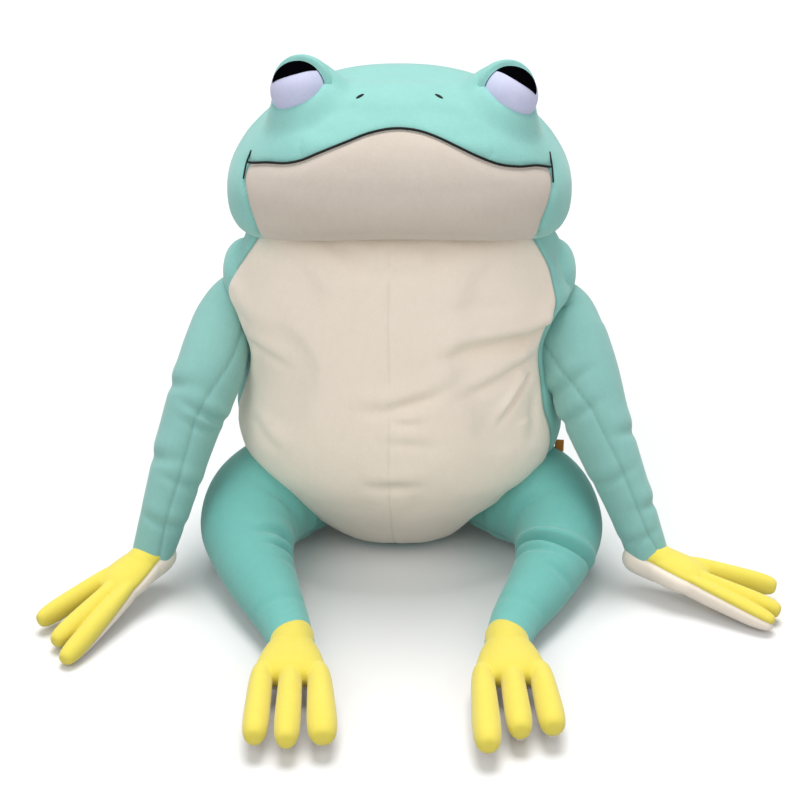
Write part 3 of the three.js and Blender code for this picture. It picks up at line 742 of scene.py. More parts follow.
# The ticks at the corners of the mouth in the front view, from the top down
MOUTH_TICKS = {
    "left": np.array([[0.1412, 0.4240], [0.1433, 0.4139], [0.1440, 0.4025]]),
    "right": np.array([[0.1396, 0.4255], [0.1436, 0.4168], [0.1464, 0.4040]]),
}


def head_form(turn, level):
    """A point of the head: level goes from the underside to the top, and turn goes round it from
    the front. Each section is a full ellipse, and the lower ones sag at the sides as jowls."""
    turn, level = np.broadcast_arrays(turn, level)
    sections = smooth_rows(HEAD_SECTIONS, level)
    height, half_width = sections[..., 0], sections[..., 1]
    ahead = np.cos(turn)
    reach = np.where(ahead > 0, sections[..., 2], sections[..., 3])
    across = half_width * fuller(np.sin(turn), HEAD_PLAN)
    along = HEAD_CENTRE - reach * fuller(ahead, HEAD_PLAN)
    sag = JOWL_DROP * np.minimum((across / JOWL_OUT) ** 2, JOWL_MOST)
    sag = sag * (1 - ease((height - JOWL_HEIGHT) / JOWL_TALL))
    return np.stack([across, along, height - sag], axis=-1)


# Nothing has moved until the head's fill presses on its cloth
head_moves = np.zeros((2, 2, 3))


def head_place(turn, level):
    """A point of the head after its fill has pressed the cloth out."""
    return head_form(turn, level) + between(head_moves, turn, level)


# How near the edge of the front view, as a sine, a place is still found
EDGE_CLIP = 0.999


def head_at(across, height):
    """The turn and level of the face at a place of the front view, found by stepping the level
    until the height fits."""
    levels = np.linspace(0, 1, 600)
    heights = smooth_rows(HEAD_SECTIONS, levels)[:, 0]
    wanted = np.array(height, float)
    for _ in range(6):
        level = np.interp(wanted, heights, levels)
        half_width = smooth_rows(HEAD_SECTIONS, level)[..., 1]
        turn = np.arcsin(np.clip(fuller(across / half_width, 4 / HEAD_PLAN), -EDGE_CLIP, EDGE_CLIP))
        wanted = wanted + (height - head_place(turn, level)[..., 2])
    return turn, level


def face_line(rows, count):
    """A smooth line of the front view as turns and levels of the head."""
    line = smooth_rows(rows, np.linspace(0, 1, count))
    return head_at(line[:, 0], line[:, 1])


mouth_turns, mouth_levels = face_line(MOUTH_LINE, count=160)
side_edges = {side: face_line(JAW_SIDES[side] * (out, 1), count=40) for side, out in SIDES.items()}
head_seams = [head_form(mouth_turns, mouth_levels), *(head_form(*edge) for edge in side_edges.values())]
head_moves = bag_moves(head_form, head_seams, UNDERSIDE_LEVEL, HEAD_CAP, HEAD_GROWTH_SHARE, soft=8)


def jaw_side_turn(side, level):
    """The turn of the jaw's side edge at a level."""
    turns, levels = side_edges[side]
    return np.interp(level, levels[::-1], turns[::-1])


def jaw_grid(rows, columns):
    """Turns and levels over the jaw: columns fan between its side edges and rows rise from the
    underside to the mouth line, settled by repeating the two lookups."""
    across = 2 * clustered(columns, strength=0.6)[None, :] - 1
    up = clustered(rows, strength=0.6)[:, None]
    corners = np.where(across < 0, -mouth_turns[0], mouth_turns[-1])
    top = np.interp(across * corners, mouth_turns, mouth_levels)
    level = JAW_LOW + up * (top - JAW_LOW)
    left_turn = jaw_side_turn("left", level)
    right_turn = -jaw_side_turn("right", level)
    return across * np.where(across < 0, right_turn, left_turn), level


turn, level = jaw_grid(rows=130, columns=200)
places = head_place(turn, level)
mouth_places = head_place(mouth_turns, mouth_levels)
side_places = {side: head_place(*edge) for side, edge in side_edges.items()}
places, near = puffed(places, [mouth_places, *side_places.values()], *JAW_SEAMS)
jaw = thickened(cloth_mesh("jaw_cloth", places, seam=near))
# The jaw is the belly's cream cloth; this darker copy paints in the shade that falls under the head.
jaw.data.materials.append(plush("cream_plush_jaw_shaded", linear(214, 203, 191), linear(207, 195, 183), pile=0.8))
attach(jaw, "head")
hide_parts("jaw_panel")

# The eyes and their hoods, which the crown is shaped round
EYES = {"left": np.array([0.1035, -0.036, 0.474]), "right": np.array([-0.0945, -0.036, 0.479])}
LID_RADIUS = 0.0328
# The hood opens upwards and outwards by these angles, and its ball is shifted from the eye's
HOOD_UP = 0.17
HOOD_OUT = 0.47
HOOD_SHIFT = np.array([-0.0020, 0.0020, 0.0000])
# How softly the crown runs into the hood, how far under the hood's skin it ends, how many steps
# find that and by what share each goes, and how far behind the hood's rim it rises fully
HOOD_FILLET = 0.020
HOOD_UNDER = 0.0009
HOOD_STEPS = 14
HOOD_STEP_SHARE = 0.7
RIM_START = 0.02
RIM_OVER = 0.30
# Which way the crown faces round each eye: it lies across the middle of the ball there
CROWN_WAY = {"left": np.array([0.50, -0.06, 0.86]), "right": np.array([-0.43, 0.0, 0.90])}
# Round an eye's axis the crown is drawn to the eye's middle within a distance, fading over another.
# Along the axis it is drawn from below the middle, over a height, up to a height above it.
DRAWN_WITHIN = 0.028
DRAWN_FADE = 0.022
DRAWN_BELOW = 0.026
DRAWN_OVER = 0.016
DRAWN_ABOVE = 0.030
# The crown's cloth reaches this far under the jaw's, and lies this deep there
JAW_LAP = 0.006
LAP_DEEP = 0.0020
# The darts: their ends in the front view, their depth and width, and how much shade is painted in them
DARTS = [
    ((0.085, 0.440), (0.086, 0.4655)),
    ((-0.090, 0.437), (-0.0905, 0.449)),
]
DART_SEAM = (0.0012, 0.0015)
DART_SHADE_SHARE = 0.4


def eye_ways(up, out):
    """Three directions from one that points up and out by two angles: across, above and ahead."""
    ahead = np.array([math.sin(out) * math.cos(up), -math.cos(out) * math.cos(up), math.sin(up)])
    across = unit(np.cross(ahead, UP))
    return np.stack([across, np.cross(across, ahead), ahead])


def raised_to_hood(places, side):
    """The crown's cloth drawn up to an eye's hood: the smooth union of the crown and the hood's
    ball, found by steps along the normals. Nothing rises in front of the hood's rim."""
    out = SIDES[side]
    normals = surface_normals(places)
    start = places - EYES[side] - HOOD_SHIFT * np.array([out, 1, 1])
    ahead = eye_ways(HOOD_UP, out * HOOD_OUT)[2]
    rise = np.zeros(places.shape[:-1])
    for _ in range(HOOD_STEPS):
        ball = np.linalg.norm(start + normals * rise[..., None], axis=-1) - LID_RADIUS + HOOD_UNDER
        shared = np.maximum(HOOD_FILLET - np.abs(rise - ball), 0) / HOOD_FILLET
        rise = rise - HOOD_STEP_SHARE * (np.minimum(rise, ball) - shared**2 * HOOD_FILLET / 4)
    facing = (start + normals * rise[..., None]) @ ahead / LID_RADIUS
    near = ease((LID_RADIUS + 2 * HOOD_FILLET - np.linalg.norm(start, axis=-1)) / HOOD_FILLET)
    rise = np.maximum(rise, 0) * ease((RIM_START - facing) / RIM_OVER) * near
    return places + normals * rise[..., None]


def raised_round_eye(places, centre, way):
    """The crown drawn up to the middle of an eye: near the eye's axis its points move along the axis
    to one plane, and further out the move fades away."""
    away = places - centre
    along = away @ way
    gap = np.linalg.norm(away - along[..., None] * way, axis=-1)
    beside = 1 - ease((gap - DRAWN_WITHIN) / DRAWN_FADE)
    near = beside * ease((along + DRAWN_BELOW) / DRAWN_OVER) * (along < DRAWN_ABOVE)
    return places - (along * near)[..., None] * way


def within_jaw(places, margin):
    """Whether points of the head lie in the jaw's place by more than a margin."""
    top = np.interp(places[..., 0], mouth_places[:, 0], mouth_places[:, 2])
    edges = [side_places[side][::-1] for side in ("left", "right")]
    left, right = (np.interp(places[..., 2], edge[:, 2], edge[:, 0]) for edge in edges)
    ahead = places[..., 1] < HEAD_CENTRE
    inside = (places[..., 0] < left - margin) & (places[..., 0] > right + margin)
    return ahead & inside & (places[..., 2] < top - margin)


places = head_place(once_round(300), np.linspace(0.0, 1.0, 150)[:, None])
dart_lines = [head_place(*head_at(*np.transpose(dart))) for dart in DARTS]
hidden = within_jaw(places, JAW_LAP).ravel()
for side, centre in EYES.items():
    places = raised_round_eye(places, centre, CROWN_WAY[side])
for side in SIDES:
    places = raised_to_hood(places, side)
inside = within_jaw(places, 0.0)
places, near = puffed(places, [mouth_places, *side_places.values()], *JAW_SEAMS)
places = raised(places, -LAP_DEEP * inside)
for line in dart_lines:
    gap = distance_to_line(places, line)
    places = raised(places, seam_dip(gap, *DART_SEAM))
    # The darts get a lighter painted shade along them.
    near = np.maximum(near, DART_SHADE_SHARE * bell(gap, FINE_SEAM_SHADE_NEAR))
crown = closed(cloth_mesh("crown_cloth", places, wrap=True, seam=near))
with reworked(crown.data) as work:
    under_jaw = [face for face in work.faces if all(hidden[corner.index] for corner in face.verts)]
    bmesh.ops.delete(work, geom=under_jaw, context="FACES")
thickened(crown)
crown.data.materials.append(mint)
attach(crown, "head")
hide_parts("crown_panel", "head_stuffing")


# MOUTH
# The mouth is a black satin-stitched line along the seam between crown and jaw, about 3 mm wide,
# with a short curved tick at each corner of the smile.

STITCH_RADIUS = 0.00125
TICK_RADIUS = 0.0009
STITCH_PITCH = 0.0024
STITCH_SPACING = 0.0005
# How much a stitch's radius rises and falls, and how suddenly the line's ends close
STITCH_SHARE = 0.12
END_POWER = 60
END_LEAST = 0.001


# How fine the strands of the thread are, how deep, and how much lighter their tops are painted, as a painted
# highlight
THREAD_SCALE = 900.0
THREAD_DEEP = 0.0004
THREAD_HIGHLIGHT = 2.2
THREAD_LEAST = 0.004


def thread(name, red, green, blue):
    """Satin-stitched thread: fine parallel strands with a soft gloss, and a painted highlight on the
    strands' tops.
    """
    finish = Finish(name)
    place = finish.place()
    strands = finish.node("ShaderNodeTexWave", {"wave_type": "BANDS", "bands_direction": "DIAGONAL"},
                          {"Vector": place, "Scale": THREAD_SCALE, "Distortion": 1.5, "Detail": 2.0})
    worn = finish.noise(place, scale=160.0)
    dark = linear(red, green, blue)
    # The strands' tops are painted lighter: a painted highlight, with some random worn tone mixed in.
    light = tuple(THREAD_HIGHLIGHT * part + THREAD_LEAST for part in dark)
    return finish.surface({
        "Base Color": finish.mix(strands * 0.6 + worn * 0.3, dark, light),
        "Roughness": 0.55,
        "Normal": finish.bump(0.5, THREAD_DEEP, strands),
        "Specular IOR Level": 0.3,
    })


black_thread = thread("black_thread", 9, 11, 11)


def stitched_line(name, line, radius, sides=10):
    """A line of satin stitches: a round cord swept along the points, whose radius rises and falls
    once for each stitch, slanted round the cord, and closed by small rounded ends."""
    gaps = np.linalg.norm(np.diff(line, axis=0), axis=1)
    run = np.concatenate([[0], np.cumsum(gaps)])
    along = np.linspace(0, run[-1], int(run[-1] / STITCH_SPACING))
    path = np.stack([np.interp(along, run, values) for values in line.T], axis=1)
    ahead = unit(np.gradient(path, axis=0))
    across = unit(np.cross(ahead, UP))
    over = np.cross(across, ahead)
    angle = once_round(sides)
    slant = along[:, None] / STITCH_PITCH + angle / (2 * np.pi)
    ends = np.sqrt(np.clip(1 - np.abs(2 * along / run[-1] - 1) ** END_POWER, END_LEAST, 1))
    size = radius * (1 - STITCH_SHARE + STITCH_SHARE * np.abs(np.sin(np.pi * slant))) * ends[:, None]
    ring = across[:, None] * np.cos(angle)[:, None] + over[:, None] * np.sin(angle)[:, None]
    return cloth_mesh(name, path[:, None] + ring * size[..., None], wrap=True)


def joined(name, parts):
    """Joins pieces into one, under one name."""
    with bpy.context.temp_override(active_object=parts[0], selected_editable_objects=parts):
        bpy.ops.object.join()
    parts[0].name = name
    return parts[0]


mouth_parts = [stitched_line("mouth_middle", mouth_places, STITCH_RADIUS)]
for side, out in SIDES.items():
    tick = head_place(*face_line(MOUTH_TICKS[side] * (out, 1), count=30))
    mouth_parts.append(stitched_line(f"mouth_tick_{side}", tick, TICK_RADIUS))
mouth = closed(joined("mouth_stitching", mouth_parts))
mouth.data.materials.append(black_thread)
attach(mouth, "head")
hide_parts("mouth_embroidery")


# NOSTRILS
# Each nostril is a small slanted oval of black satin stitch on the crown above the mouth.

NOSTRIL_OUT = 0.0365
NOSTRIL_HEIGHT = 0.4808
NOSTRIL_SIZE = np.array([0.0048, 0.0018, 0.0011])
NOSTRIL_SLANT = {"left": -1.2, "right": 1.2}
# A small step in turn or level, which finds how the head's cloth runs there
PROBE = 0.01


# How near its poles, as an angle, a ball's grid ends
POLE = 0.02


def ball_grid(rows, columns):
    """A unit ball as a grid: rows from the bottom pole to the top pole, columns anticlockwise."""
    tilt = np.linspace(-np.pi / 2 + POLE, np.pi / 2 - POLE, rows)[:, None]
    tilt, turn = np.broadcast_arrays(tilt, once_round(columns))
    return np.stack([np.cos(tilt) * np.cos(turn), np.cos(tilt) * np.sin(turn), np.sin(tilt)], axis=-1)


for side, out in SIDES.items():
    turn, level = head_at(np.array([out * NOSTRIL_OUT]), np.array([NOSTRIL_HEIGHT]))
    centre = head_place(turn, level)[0]
    across = unit(head_place(turn + PROBE, level)[0] - centre)
    normal = unit(np.cross(across, head_place(turn, level + PROBE)[0] - centre))
    above = np.cross(normal, across)
    slant = NOSTRIL_SLANT[side]
    long_way = math.cos(slant) * across + math.sin(slant) * above
    short_way = math.cos(slant) * above - math.sin(slant) * across
    basis = np.stack([long_way * NOSTRIL_SIZE[0], short_way * NOSTRIL_SIZE[1], normal * NOSTRIL_SIZE[2]])
    nostril = closed(cloth_mesh(f"nostril_stitching_{side}", ball_grid(14, 24) @ basis + centre, wrap=True))
    nostril.data.materials.append(black_thread)
    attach(nostril, "head")
    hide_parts(f"nostril_{side}")


# EYES
# Each eye is a stuffed ball of smooth white plush, sunk to its middle into the corner of the crown.
# A black half disc is sewn on it, flat edge down, and a mint hood rises behind it as the eyelid.

EYE_RADIUS = 0.0268
PUPIL_RADIUS = 0.0215
# The pupil's felt stands on the eye over a small gap, rounded off over a distance from its edge
PUPIL_GAP = 0.0001
PUPIL_LIFT = 0.0012
PUPIL_ROUNDED = 0.0016
PUPIL_FELT = 0.0008
GAZE_UP = {"left": 0.86, "right": 0.88}
GAZE_OUT = {"left": 0.27, "right": -0.25}
PUPIL_TILT = {"left": 0.74, "right": -0.42}
PUPIL_BOW = 0.0050
# The hood covers a little more than half of its ball, from an angle off the way it opens to just
# short of the pole, with its rings crowded at the rim by a power. Its lip is turned in to the eye
# over a share of its length.
HOOD_OPEN = 1.53
HOOD_CLOTH = 0.0018
HOOD_LIP = 0.0056
LIP_SHARE = 0.075
HOOD_POLE = 0.05
HOOD_CROWDED = 1.3
white = plush("white_plush", linear(212, 214, 240), linear(202, 202, 232), pile=0.35, sheen=0.2)


# How deep the felt's fibres are, and how much lighter their tops are painted, as a painted highlight
FELT_DEEP = 0.0005
FELT_HIGHLIGHT = 1.8
FELT_LEAST = 0.001


def felt(name, red, green, blue):
    """Felt: short matted fibres without direction, painted lighter on their tops as a painted highlight."""
    finish = Finish(name)
    fibres = finish.noise(finish.place(), scale=1400.0, detail=4.0, roughness=0.7)
    dark = linear(red, green, blue)
    # The fibres' tops are painted lighter: a painted highlight.
    light = tuple(FELT_HIGHLIGHT * part + FELT_LEAST for part in dark)
    return finish.surface({
        "Base Color": finish.mix(fibres, dark, light),
        "Roughness": 0.9,
        "Normal": finish.bump(0.3, FELT_DEEP, fibres),
        "Specular IOR Level": 0.0,
    })


black_felt = felt("black_felt", 2, 2, 4)


for side, out in SIDES.items():
    centre = EYES[side]
    ball = closed(cloth_mesh(f"eye_ball_{side}", centre + ball_grid(60, 90) * EYE_RADIUS, wrap=True))
    ball.data.materials.append(white)
    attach(ball, "head")
    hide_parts(f"eye_{side}")

    radial = np.linspace(0, 1, 26)[:, None]
    sweep = np.linspace(0, np.pi, 60)[None, :]
    tilt = PUPIL_TILT[side]
    flat_across = PUPIL_RADIUS * radial * np.cos(sweep)
    bow = PUPIL_BOW * (radial * np.cos(sweep)) ** 2 * (1 - np.sin(sweep))
    flat_above = PUPIL_RADIUS * radial * np.sin(sweep) + bow
    across = flat_across * math.cos(tilt) - flat_above * math.sin(tilt)
    above = flat_across * math.sin(tilt) + flat_above * math.cos(tilt)
    edge = np.minimum(1 - radial, radial * np.sin(sweep)) * PUPIL_RADIUS
    radius = EYE_RADIUS + PUPIL_GAP + PUPIL_LIFT * np.sqrt(np.clip(edge / PUPIL_ROUNDED, 0, 1))
    rise = np.sqrt(np.maximum(radius**2 - across**2 - above**2, 0))
    places = centre + np.stack([across, above, rise], axis=-1) @ eye_ways(GAZE_UP[side], GAZE_OUT[side])
    pupil = thickened(cloth_mesh(f"pupil_felt_{side}", places), PUPIL_FELT)
    pupil.data.materials.append(black_felt)
    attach(pupil, "head")
    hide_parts(f"pupil_{side}")

for side, out in SIDES.items():
    ways = eye_ways(HOOD_UP, out * HOOD_OUT)
    angle, fall = np.broadcast_arrays(once_round(90), np.linspace(0, 1, 60)[:, None])
    polar = HOOD_OPEN + (np.pi - HOOD_POLE - HOOD_OPEN) * fall**HOOD_CROWDED
    radius = LID_RADIUS - HOOD_LIP * bell(fall, LIP_SHARE)
    ball = np.stack([np.sin(polar) * np.cos(angle), np.sin(polar) * np.sin(angle), np.cos(polar)], axis=-1)
    ring = radius[..., None] * ball
    shift = HOOD_SHIFT * np.array([out, 1, 1])
    hood = outwards(cloth_mesh(f"eyelid_cloth_{side}", EYES[side] + shift + ring @ ways, wrap=True))
    thickened(hood, HOOD_CLOTH)
    hood.data.materials.append(mint)
    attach(hood, "head")
    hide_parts(f"eyelid_{side}")


# ARMS
# Each arm is one long stuffed sleeve, sewn shut along its front and hung from the shoulder under a
# rounded gusset. It is loosely filled, so it creases at the elbow and above the wrist.

# The middle of each arm and its radius, from the shoulder to the wrist. The right one is mirrored.
ARMS = {
    "left": np.array([
        [0.138, -0.002, 0.264, 0.0180],
        [0.150, -0.006, 0.252, 0.0245],
        [0.163, -0.011, 0.238, 0.0300],
        [0.168, -0.029, 0.221, 0.0365],
        [0.177, -0.051, 0.199, 0.0370],
        [0.1980, -0.094, 0.147, 0.0308],
        [0.2225, -0.124, 0.093, 0.0242],
        [0.2450, -0.147, 0.038, 0.0195],
    ]),
    "right": np.array([
        [0.146, -0.002, 0.264, 0.0180],
        [0.161, -0.006, 0.252, 0.0255],
        [0.172, -0.016, 0.236, 0.0295],
        [0.180, -0.036, 0.216, 0.0325],
        [0.187, -0.056, 0.196, 0.0335],
        [0.2075, -0.091, 0.146, 0.0290],
        [0.2250, -0.123, 0.093, 0.0246],
        [0.2430, -0.147, 0.038, 0.0200],
    ]),
}


def limb_frame(limb, places):
    """The centre, radius and cross directions of a limb at places along it."""
    stacked = smooth_rows(limb, places)
    centre, radius = stacked[..., :3], stacked[..., 3]
    ahead = unit(np.gradient(centre, axis=0))
    across = unit(np.cross(ahead, UP))
    return centre, radius, across, np.cross(across, ahead)


def resting(places, give):
    """Soft cloth on the floor: heights below nought are pressed up to it, rounded over a small give."""
    height = places[..., 2]
    pressed = (height + np.sqrt(height**2 + give**2)) / 2
    return np.concatenate([places[..., :2], pressed[..., None]], axis=-1)


# A limb's cloth gives way on the floor over a small height
LIMB_GIVE = 0.004
# The depth and width of a limb's seam, how near it shade is painted on the cloth, and by what share
LIMB_SEAM = (0.0018, 0.0022)
LIMB_SEAM_SHADE_NEAR = 0.0013
LIMB_SEAM_SHADE_SHARE = 0.8
# The ridge beside a limb's fold: how far away and how wide it is, in widths of the fold's valley,
# and its share of the depth
LIMB_RIDGE_AWAY = 2.2
LIMB_RIDGE_WIDE = 1.7
LIMB_RIDGE_SHARE = 0.6
LIMB_COLUMNS = 96


def limb_places(limb, out, span, rows, folds, seam):
    """Points of a limb between two places along it, from 0 to 1, with its folds pressed in and a groove
    along its seam, and how near the seam each point is, for the shade painted there."""
    whole = np.linspace(0, 1, 400)
    rows_at = np.linspace(*span, rows)

    def at_rows(values):
        return np.stack([np.interp(rows_at, whole, line) for line in np.atleast_2d(values.T)], axis=1)

    centre, radius, across, above = (at_rows(values) for values in limb_frame(limb, whole))
    angle = once_round(LIMB_COLUMNS)
    length = np.linalg.norm(np.diff(limb[:, :3], axis=0), axis=1).sum()
    ring = np.ones((rows, LIMB_COLUMNS))
    for place, fold_angle, depth, width, reach, back in folds:
        away = np.angle(np.exp(1j * (angle - fold_angle)))
        lean = (rows_at[:, None] - place) * length + back * (1 - np.cos(away))
        ridge = LIMB_RIDGE_SHARE * bell(lean + LIMB_RIDGE_AWAY * width, LIMB_RIDGE_WIDE * width)
        ring = ring + depth / radius * bell(away, reach) * (ridge - bell(lean, width))
    seam_angle = np.interp(rows_at, seam[:, 0], seam[:, 1])[:, None]
    away = np.angle(np.exp(1j * (angle - seam_angle))) * radius
    spread = radius * ring + seam_dip(away, *LIMB_SEAM)
    # How much shade is painted along the limb's seam.
    near = LIMB_SEAM_SHADE_SHARE * bell(away, LIMB_SEAM_SHADE_NEAR)
    wide = across[:, None] * (spread * np.cos(angle))[..., None]
    high = above[:, None] * (spread * np.sin(angle))[..., None]
    places = (centre[:, None] + wide + high) * np.array([out, 1, 1])
    return (places, near) if out > 0 else (places[:, ::-1], near[:, ::-1])


# The arms are of the body's mint cloth; this darker, greyer copy paints in their shade.
arm_mint_shaded = plush("mint_plush_arms_shaded", linear(141, 193, 186), linear(134, 186, 179))
# Where each arm's seam runs: places along the arm, and the angle round it there
ARM_SEAMS = {
    "left": np.array([
        [0.0, 0.0], [0.15, 0.13], [0.30, 0.48], [0.43, 0.85], [0.50, 1.05], [0.90, 1.10], [1.0, 1.40],
    ]),
    "right": np.array([
        [0.0, 0.3], [0.25, 0.52], [0.45, 0.82], [0.56, 0.93], [0.70, 0.90], [0.84, 0.79], [1.0, 0.50],
    ]),
}
# Folds of a limb: a place along it, an angle round it, a depth, a width, how far the fold reaches
# round, in radians, and how far its ends lie back along the limb
ARM_FOLDS = {
    "left": [
        (0.40, 0.2, 0.0040, 0.0050, 0.9, 0.010),
        (0.50, 0.1, 0.0036, 0.0045, 0.9, 0.008),
        (0.60, 2.2, 0.0024, 0.0060, 0.8, 0.006),
        (0.72, 0.3, 0.0026, 0.0050, 0.9, 0.006),
        (0.84, 2.0, 0.0022, 0.0050, 1.0, 0.004),
        (0.93, 0.4, 0.0022, 0.0045, 1.0, 0.004),
    ],
    "right": [
        (0.44, 2.2, 0.0026, 0.0060, 0.8, 0.008),
        (0.50, 0.3, 0.0050, 0.0042, 0.8, 0.006),
        (0.55, 0.5, 0.0028, 0.0045, 0.7, 0.008),
        (0.68, 2.1, 0.0022, 0.0060, 0.9, 0.006),
        (0.74, 0.4, 0.0026, 0.0045, 0.9, 0.004),
        (0.88, 0.6, 0.0028, 0.0045, 1.1, 0.004),
    ],
}


def hinge(name):
    """The place of a joint and the bodies that it joins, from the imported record."""
    found = next(joint for joint in frame["joints"] if joint["name"] == name)
    return Vector(found["pos_m"]), found["parent"], found["child"]


def bend(piece, joint, along, before, after):
    """Bakes a piece's place into its mesh; it does not make the piece bend across the joint, and the
    distances before and after it change nothing. along names the two joints between which the limb runs
    there."""
    centre, parent, child = hinge(joint)
    ahead = (hinge(along[1])[0] - hinge(along[0])[0]).normalized()
    centre - ahead * before
    centre + ahead * after
    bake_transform(piece)


def sleeve(name, limb, out, span, rows, folds, seam, finish):
    """A stretch of a limb's sleeve, between two places along it."""
    places, near = limb_places(limb, out, span, rows, folds, seam)
    piece = thickened(outwards(cloth_mesh(name, resting(places, LIMB_GIVE), wrap=True, seam=near)))
    piece.data.materials.append(finish)
    return piece


# Where along the arm each of its three stretches of cloth starts and ends, from 0 to 1, with its rows
ARM_SPANS = [((0.0, 0.47), 120), ((0.47, 0.80), 90), ((0.80, 1.0), 60)]
# Distances before and after each stretch's joint, given to bend, where they change nothing
SHOULDER_BEND = (0.020, 0.035)
ELBOW_BEND = (0.026, 0.030)
WRIST_BEND = (0.014, 0.014)

for side, out in SIDES.items():
    upper_run = (f"shoulder_swing_{side}", f"elbow_fold_{side}")
    lower_run = (f"elbow_fold_{side}", f"wrist_fold_{side}")
    arm = (ARMS[side], out)
    look = (ARM_FOLDS[side], ARM_SEAMS[side], arm_mint_shaded)
    upper = sleeve(f"shoulder_cloth_{side}", *arm, *ARM_SPANS[0], *look)
    bend(upper, f"shoulder_swing_{side}", upper_run, *SHOULDER_BEND)
    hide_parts(f"upper_arm_sleeve_{side}", f"upper_arm_stuffing_{side}")
    middle = sleeve(f"elbow_cloth_{side}", *arm, *ARM_SPANS[1], *look)
    bend(middle, f"elbow_fold_{side}", lower_run, *ELBOW_BEND)
    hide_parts(f"forearm_sleeve_{side}", f"forearm_stuffing_{side}")
    lower = sleeve(f"wrist_cloth_{side}", *arm, *ARM_SPANS[2], *look)
    bend(lower, f"wrist_fold_{side}", lower_run, *WRIST_BEND)


# SHOULDER GUSSETS
# Above each arm the back panel is gathered into a rounded gusset, which folds over the arm's top.

LOBE_CENTRE = np.array([0.1485, -0.002, 0.280])
LOBE_SIZE = np.array([0.0260, 0.040, 0.030])
LOBE_FULLNESS = 2.3

for side, out in SIDES.items():
    ball = fuller(ball_grid(rows=50, columns=70), LOBE_FULLNESS)
    places = LOBE_CENTRE * np.array([out, 1, 1]) + ball * LOBE_SIZE
    gusset = closed(cloth_mesh(f"shoulder_gusset_{side}", places, wrap=True))
    gusset.data.materials.append(mint)
    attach(gusset, "torso")


# LEGS
# Each leg is a stuffed sleeve like the arm, fuller at the knee, which is bent outwards. It lies on
# the floor, so its underside is pressed flat, and the cloth bunches on the inside of the knee.

# The middle of each leg and its radius, from the hip to the ankle. The right one is mirrored.
LEGS = {
    "left": np.array([
        [0.072, -0.020, 0.058, 0.0380],
        [0.090, -0.030, 0.057, 0.0480],
        [0.115, -0.042, 0.057, 0.0545],
        [0.140, -0.066, 0.056, 0.0530],
        [0.1565, -0.103, 0.0475, 0.0460],
        [0.1515, -0.150, 0.0395, 0.0370],
        [0.1330, -0.198, 0.0320, 0.0305],
        [0.1100, -0.246, 0.0250, 0.0240],
        [0.0990, -0.283, 0.0225, 0.0205],
    ]),
    "right": np.array([
        [0.072, -0.020, 0.058, 0.0380],
        [0.090, -0.030, 0.057, 0.0480],
        [0.115, -0.042, 0.057, 0.0550],
        [0.137, -0.066, 0.055, 0.0545],
        [0.1485, -0.103, 0.0495, 0.0500],
        [0.1425, -0.155, 0.0400, 0.0385],
        [0.1265, -0.203, 0.0325, 0.0312],
        [0.1100, -0.246, 0.0255, 0.0245],
        [0.0990, -0.283, 0.0225, 0.0205],
    ]),
}
# Folds of each leg, given as the arms' are
LEG_FOLDS = {
    "left": [
        (0.600, 1.60, 0.0085, 0.0034, 1.7, 0.013),
        (0.645, 1.30, 0.0032, 0.0036, 0.6, 0.008),
        (0.700, 2.15, 0.0024, 0.0045, 0.6, 0.010),
        (0.640, 0.45, 0.0022, 0.0035, 0.4, 0.000),
        (0.400, 0.60, 0.0030, 0.0080, 0.7, 0.010),
        (0.860, 1.60, 0.0014, 0.0050, 0.9, 0.004),
    ],
    "right": [
        (0.630, 0.65, 0.0048, 0.0032, 0.6, 0.004),
        (0.560, 0.55, 0.0042, 0.0050, 0.6, -0.012),
        (0.575, 1.30, 0.0016, 0.0045, 0.6, 0.006),
        (0.690, 0.70, 0.0016, 0.0045, 0.6, 0.004),
        (0.400, 0.60, 0.0030, 0.0080, 0.7, 0.010),
        (0.860, 1.60, 0.0014, 0.0050, 0.9, 0.004),
    ],
}
LEG_SEAM = np.array([[0.0, -0.6], [1.0, -0.6]])
LEG_SPANS = [((0.0, 0.30), 80), ((0.30, 0.72), 170), ((0.72, 1.0), 80)]
# Distances before and after each joint, given to bend, where they change nothing; the knee's begin a little
# after its joint
HIP_BEND = (0.025, 0.020)
KNEE_BEND = (-0.012, 0.055)
ANKLE_BEND = (0.016, 0.016)
# The legs are of the body's mint cloth; this darker copy paints in the shade that they lie in.
leg_mint_shaded = plush("mint_plush_legs_shaded", linear(118, 190, 182), linear(112, 183, 175))

for side, out in SIDES.items():
    upper_run = (f"hip_spread_{side}", f"knee_fold_{side}")
    lower_run = (f"knee_fold_{side}", f"ankle_fold_{side}")
    leg = (LEGS[side], out)
    look = (LEG_FOLDS[side], LEG_SEAM, leg_mint_shaded)
    upper = sleeve(f"thigh_cloth_{side}", *leg, *LEG_SPANS[0], *look)
    bend(upper, f"hip_spread_{side}", upper_run, *HIP_BEND)
    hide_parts(f"thigh_sleeve_{side}", f"thigh_stuffing_{side}")
    middle = sleeve(f"knee_cloth_{side}", *leg, *LEG_SPANS[1], *look)
    bend(middle, f"knee_fold_{side}", lower_run, *KNEE_BEND)
    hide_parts(f"shin_sleeve_{side}", f"shin_stuffing_{side}")
    lower = sleeve(f"ankle_cloth_{side}", *leg, *LEG_SPANS[2], *look)
    bend(lower, f"ankle_fold_{side}", lower_run, *ANKLE_BEND)


# HANDS AND FEET
# Each hand and foot is a mitten with three digits, sewn from a yellow top and a cream sole along a
# seam round its edge, and stuffed firmly. They start inside the end of the sleeve.

yellow = plush("yellow_plush", linear(233, 217, 97), linear(228, 212, 88), pile=0.7)
HAND = {"pad": 0.064, "pad_half": 0.0265, "thick": 0.0145, "root": 0.0088, "wrist": 0.0200}
FOOT = {"pad": 0.068, "pad_half": 0.0390, "thick": 0.0185, "root": 0.0108, "wrist": 0.0210}
